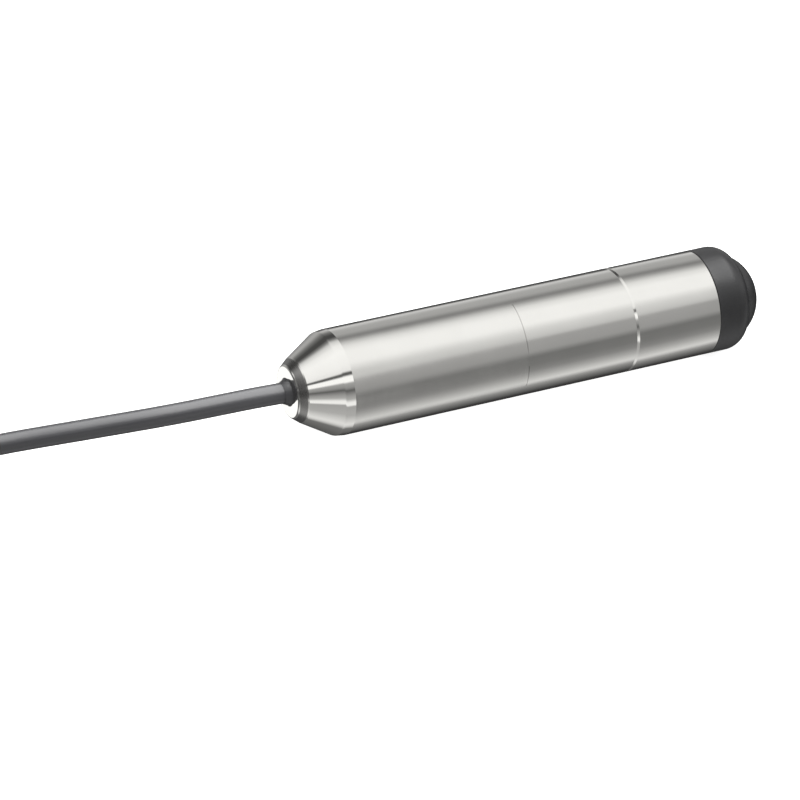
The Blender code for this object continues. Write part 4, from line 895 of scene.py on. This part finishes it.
snap_ring = ring_profile(SPIGOT_R - RING_CORD / 2, RING_CORD / 2, S_RING)
turned("cap_snap_ring", snap_ring, seal_rubber, "rubber", replaces=("cap_retention_ring",), sides=128)
low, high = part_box("cell_o_ring")
cord_r, ring_r = (high.x - low.x) / 2, (high.z - low.z) / 2
seal_ring = ring_profile(ring_r - cord_r, cord_r, (high.x + low.x) / 2 - X_START)
turned("cell_seal_ring", seal_ring, seal_rubber, "rubber", replaces=("cell_o_ring",), sides=128)
low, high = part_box("cell_diaphragm")
disc_r, disc_a, disc_b = (high.z - low.z) / 2, low.x - X_START, high.x - X_START
disc = rounded([(0.0, disc_b), (disc_r, disc_b, 0.0001), (disc_r, disc_a, 0.0001), (0.0, disc_a)])
turned("ceramic_diaphragm", disc, ceramic, "ceramic", closed=False, sides=96, replaces=("cell_diaphragm",))

# %% [markdown]
# ## Finishes of the hidden pieces
# The CAD nodes that stay need finishes of their own, though most are closed in by the housing: brass and
# steel fittings, seals, moulded holders, and the circuit board with its parts.

# %% Hidden metals, plastics and chips
brass = turned_steel("turned_brass", "#C9A25A", "#D2AE68", 0.2, 0.001, (0.24, 0.34))
bare_steel = turned_steel("turned_steel_fitting", "#C9C8C4", "#D4D3CF", 0.25, 0.002, (0.22, 0.32))
aluminium = grained("aluminium_can", "#C4C6C9", "#D0D2D4", 0.4, 0.004, (0.24, 0.34), Metallic=1.0)
holder_white = grained("natural_polyamide", "#D6D3C8", "#E2DFD5", 0.3, 0.01, (0.40, 0.52))
chip_black = grained("black_epoxy_moulding", "#1C1C1E", "#262628", 0.15, 0.01, (0.45, 0.60))
terminal_green = grained("green_polyamide_terminal", "#2E7A3C", "#378646", 0.25, 0.008, (0.36, 0.46))
ribbon_amber = grained("amber_polyimide_ribbon", "#B5701C", "#C67F27", 0.8, 0.004, (0.24, 0.34))
inner_jacket = grained("polyurethane_jacket_inside", "#3B3B3D", "#454547", 0.35, 0.01, (0.38, 0.48))

# %% Circuit board finish
# Green solder mask over copper: bands of copper 0.6 mm wide show through as slightly lighter, raised lines.
board_green, tree, shader = blank("green_solder_mask", Roughness=0.35)
place = add(tree, "ShaderNodeTexCoord").outputs["Object"]
lines = add(tree, "ShaderNodeTexBrick", {
    "Vector": place, "Scale": 1000 / 6.0, "Mortar Size": 0.06, "Color1": (0, 0, 0, 1), "Color2": (0, 0, 0, 1),
    "Mortar": (1, 1, 1, 1)})
colour = add(tree, "ShaderNodeMix", {
    "Factor": lines.outputs["Color"], "A": linear("#1E5A2E"), "B": linear("#2E7540")}, data_type="RGBA")
COPPER_THICKNESS = 0.00003
bump = add(tree, "ShaderNodeBump", {
    "Height": lines.outputs["Color"], "Distance": COPPER_THICKNESS, "Strength": 1.0})
tree.links.new(colour.outputs["Result"], shader.inputs["Base Color"])
tree.links.new(bump.outputs["Normal"], shader.inputs["Normal"])

# %% Give every hidden node its finish
hidden = {
    "head_o_ring": seal_rubber, "measuring_cell": ceramic, "cell_support_ring": holder_white,
    "cell_retaining_ring": bare_steel, "main_board": board_green, "board_holder_cable_end": holder_white,
    "board_holder_cell_end": holder_white, "terminal_block": terminal_green, "surge_arrester": ceramic,
    "suppressor_diode": chip_black, "converter_chip": chip_black, "filter_capacitor": aluminium,
    "amplifier_chip": chip_black, "cell_ribbon": ribbon_amber, "gland_washer_front": brass,
    "gland_washer_rear": brass, "cable_seal": seal_rubber, "gland_screw": brass,
    "strain_relief_ring": bare_steel, "cable_inside": inner_jacket, "wire_supply": red_pvc,
    "wire_screen": white_pvc, "wire_signal": blue_pvc, "vent_tube_inside": vent_nylon,
}
for name, look in hidden.items():
    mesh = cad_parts[name].data
    mesh.materials.clear()
    mesh.materials.append(look)
print(len(hidden), "hidden nodes finished")

# %% [markdown]
# ## One cord
# The cable is one cord of 5 m: it leaves the cone's mouth, lies in its hank, and carries the ties and the
# pieces on its free end.

# %% [markdown]
# ## Floor and studio light
# The object lies on a plain pale floor. Polished steel shows nothing but what stands round it, so the
# studio is a room of soft strips: the brightness of the surroundings is a function of the direction alone.
# It changes with the angle round the probe's own axis, and differs to the left and to the right: the tube
# mirrors the right side of the room, and the cone the left side.

# %% Floor
FLOOR_HALF, FLOOR_Z = 4, -0.0001
floor_mesh = bpy.data.meshes.new("floor")
floor_corners = [(x * FLOOR_HALF, y * FLOOR_HALF, FLOOR_Z) for x, y in ((-1, -1), (1, -1), (1, 1), (-1, 1))]
floor_mesh.from_pydata(floor_corners, [], [(0, 1, 2, 3)])
floor = bpy.data.objects.new("floor", floor_mesh)
bpy.context.scene.collection.objects.link(floor)
floor_paint, tree, shader = blank(
    "pale_studio_floor", Roughness=0.9, Specular_IOR_Level=0.1, Emission_Strength=0.85)
shader.inputs["Base Color"].default_value = linear("#F4F4F3")
shader.inputs["Emission Color"].default_value = linear("#FFFFFF")
floor_mesh.materials.append(floor_paint)
floor.visible_glossy = False

# %% Strips of light
# Each strip's edge: the angle round the axis in degrees (0 in front, 90 above) and how bright the steel
# looks there, from 0 to 255. Between two edges the light changes evenly. Most of the brightnesses were read
# off the photograph, across the tube for RIGHT and round the cone for LEFT, and rounded to fives. Some were
# then changed.
RIGHT = (
    (-180, 80), (-150, 30), (-120, 55), (-100, 110), (-88, 145), (-77, 210), (-60, 170), (-44, 130),
    (-30, 115), (-11, 110), (1, 150), (24, 155), (30, 190), (47, 210), (62, 240), (90, 240), (104, 220),
    (119, 150), (127, 120), (140, 160), (158, 165), (173, 200), (179, 120))
LEFT = (
    (-180, 150), (-150, 90), (-133, 75), (-94, 110), (-84, 205), (-78, 220), (-66, 200), (-53, 170),
    (-31, 160), (-27, 240), (-21, 235), (-14, 170), (-5, 145), (5, 90), (11, 140), (20, 160), (24, 250),
    (34, 250), (38, 95), (42, 85), (46, 230), (60, 240), (90, 245), (106, 235), (118, 205), (127, 120),
    (134, 70), (143, 70), (155, 110), (168, 160))
STEEL_GREY = 0.70  # how much of the light the steel gives back


def strip_ramp(tree, angle, stops):
    """A ramp over the angle. Its grey is the wanted brightness made linear, over the steel's own grey."""
    ramp = add(tree, "ShaderNodeValToRGB", {"Fac": angle})
    elements = ramp.color_ramp.elements
    while len(elements) < len(stops):
        elements.new(0.5)
    for element, (degrees, seen) in zip(elements, stops):
        element.position = degrees / 360 + 0.5
        grey = linear("#%02X%02X%02X" % (seen, seen, seen))[0] / STEEL_GREY
        element.color = (grey, grey, grey, 1.0)
    return ramp.outputs["Color"]


# %% The room as a function of direction
world = bpy.data.worlds.new("studio")
bpy.context.scene.world = world
world.use_nodes = True
tree = world.node_tree
direction = add(tree, "ShaderNodeTexCoord").outputs["Generated"]
axes = add(tree, "ShaderNodeSeparateXYZ", {0: direction}).outputs
front = add(tree, "ShaderNodeMath", {0: axes["Y"], 1: -1.0}, operation="MULTIPLY").outputs[0]
turn = add(tree, "ShaderNodeMath", {0: axes["Z"], 1: front}, operation="ARCTAN2").outputs[0]
of_a_turn = {0: turn, 1: 1 / (2 * math.pi), 2: 0.5}
turn = add(tree, "ShaderNodeMath", of_a_turn, operation="MULTIPLY_ADD").outputs[0]
to_right = add(tree, "ShaderNodeMapRange", {
    "Value": axes["X"], "From Min": 0.25, "From Max": 0.33}).outputs[0]
# The far left end of the room is dark, except for one soft patch that the flat ring of the cone reflects.
DARK_END, PATCH, PATCH_AT = (0.09, 0.09, 0.09, 1), (1.4, 1.4, 1.4, 1), (-0.386, 0.799, -0.461)
far_left = add(tree, "ShaderNodeMapRange", {
    "Value": axes["X"], "From Min": -0.70, "From Max": -0.78, "To Max": 0.88}).outputs[0]
near_patch = add(tree, "ShaderNodeVectorMath", {0: direction, 1: PATCH_AT}, operation="DOT_PRODUCT")
on_patch = add(tree, "ShaderNodeMapRange", {
    "Value": near_patch.outputs["Value"], "From Min": 0.955, "From Max": 0.985}).outputs[0]
# The camera itself sees plain white.
seen = add(tree, "ShaderNodeLightPath").outputs["Is Camera Ray"]
WHITE = (1, 1, 1, 1)
room_light, right_light = strip_ramp(tree, turn, LEFT), strip_ramp(tree, turn, RIGHT)
for share, light in ((to_right, right_light), (far_left, DARK_END), (on_patch, PATCH), (seen, WHITE)):
    room_light = add(tree, "ShaderNodeMix", {
        "Factor": share, "A": room_light, "B": light}, data_type="RGBA").outputs["Result"]
tree.links.new(room_light, tree.nodes["Background"].inputs["Color"])

# %% A broad soft lamp for the floor
sky = bpy.data.lights.new("soft_overhead", "AREA")
sky.shape, sky.size, sky.energy = "DISK", 2.4, 26.0
lamp = bpy.data.objects.new("soft_overhead", sky)
lamp.location = (-0.05, -0.1, 2.2)
lamp.visible_glossy = False
bpy.context.scene.collection.objects.link(lamp)

# %% Softboxes for the cable and for the cap
# Dark plastic needs far more light than polished steel, so each box, high on the right, lights its own
# pieces.
def softbox(name, angle, far, size, watts, pieces):
    """An area lamp that far off, at that angle round the probe's axis (0 in front, 90 above). It lights only
    the given pieces, and is as far aside as the camera, but to the right, so that they mirror it."""
    lit = bpy.data.collections.new("lit_by_" + name)
    for each in pieces:
        lit.objects.link(each)
    light = bpy.data.lights.new(name, "AREA")
    light.shape, light.energy = "RECTANGLE", watts
    light.size, light.size_y = size
    box = bpy.data.objects.new(name, light)
    aside = -to_camera[0]
    level, angle = math.sqrt(1 - aside ** 2), math.radians(angle)
    toward = Vector((aside, -level * math.cos(angle), level * math.sin(angle)))
    box.location = far * toward
    box.rotation_euler = toward.to_track_quat("Z", "Y").to_euler()
    box.light_linking.receiver_collection = lit
    bpy.context.scene.collection.objects.link(box)


softbox("cable_softbox", 84, 1.1, (2.4, 2.2), 100.0, (cable, collar))
softbox("cap_softbox", 92, 1.5, (1.4, 0.7), 14.0, (cap,))
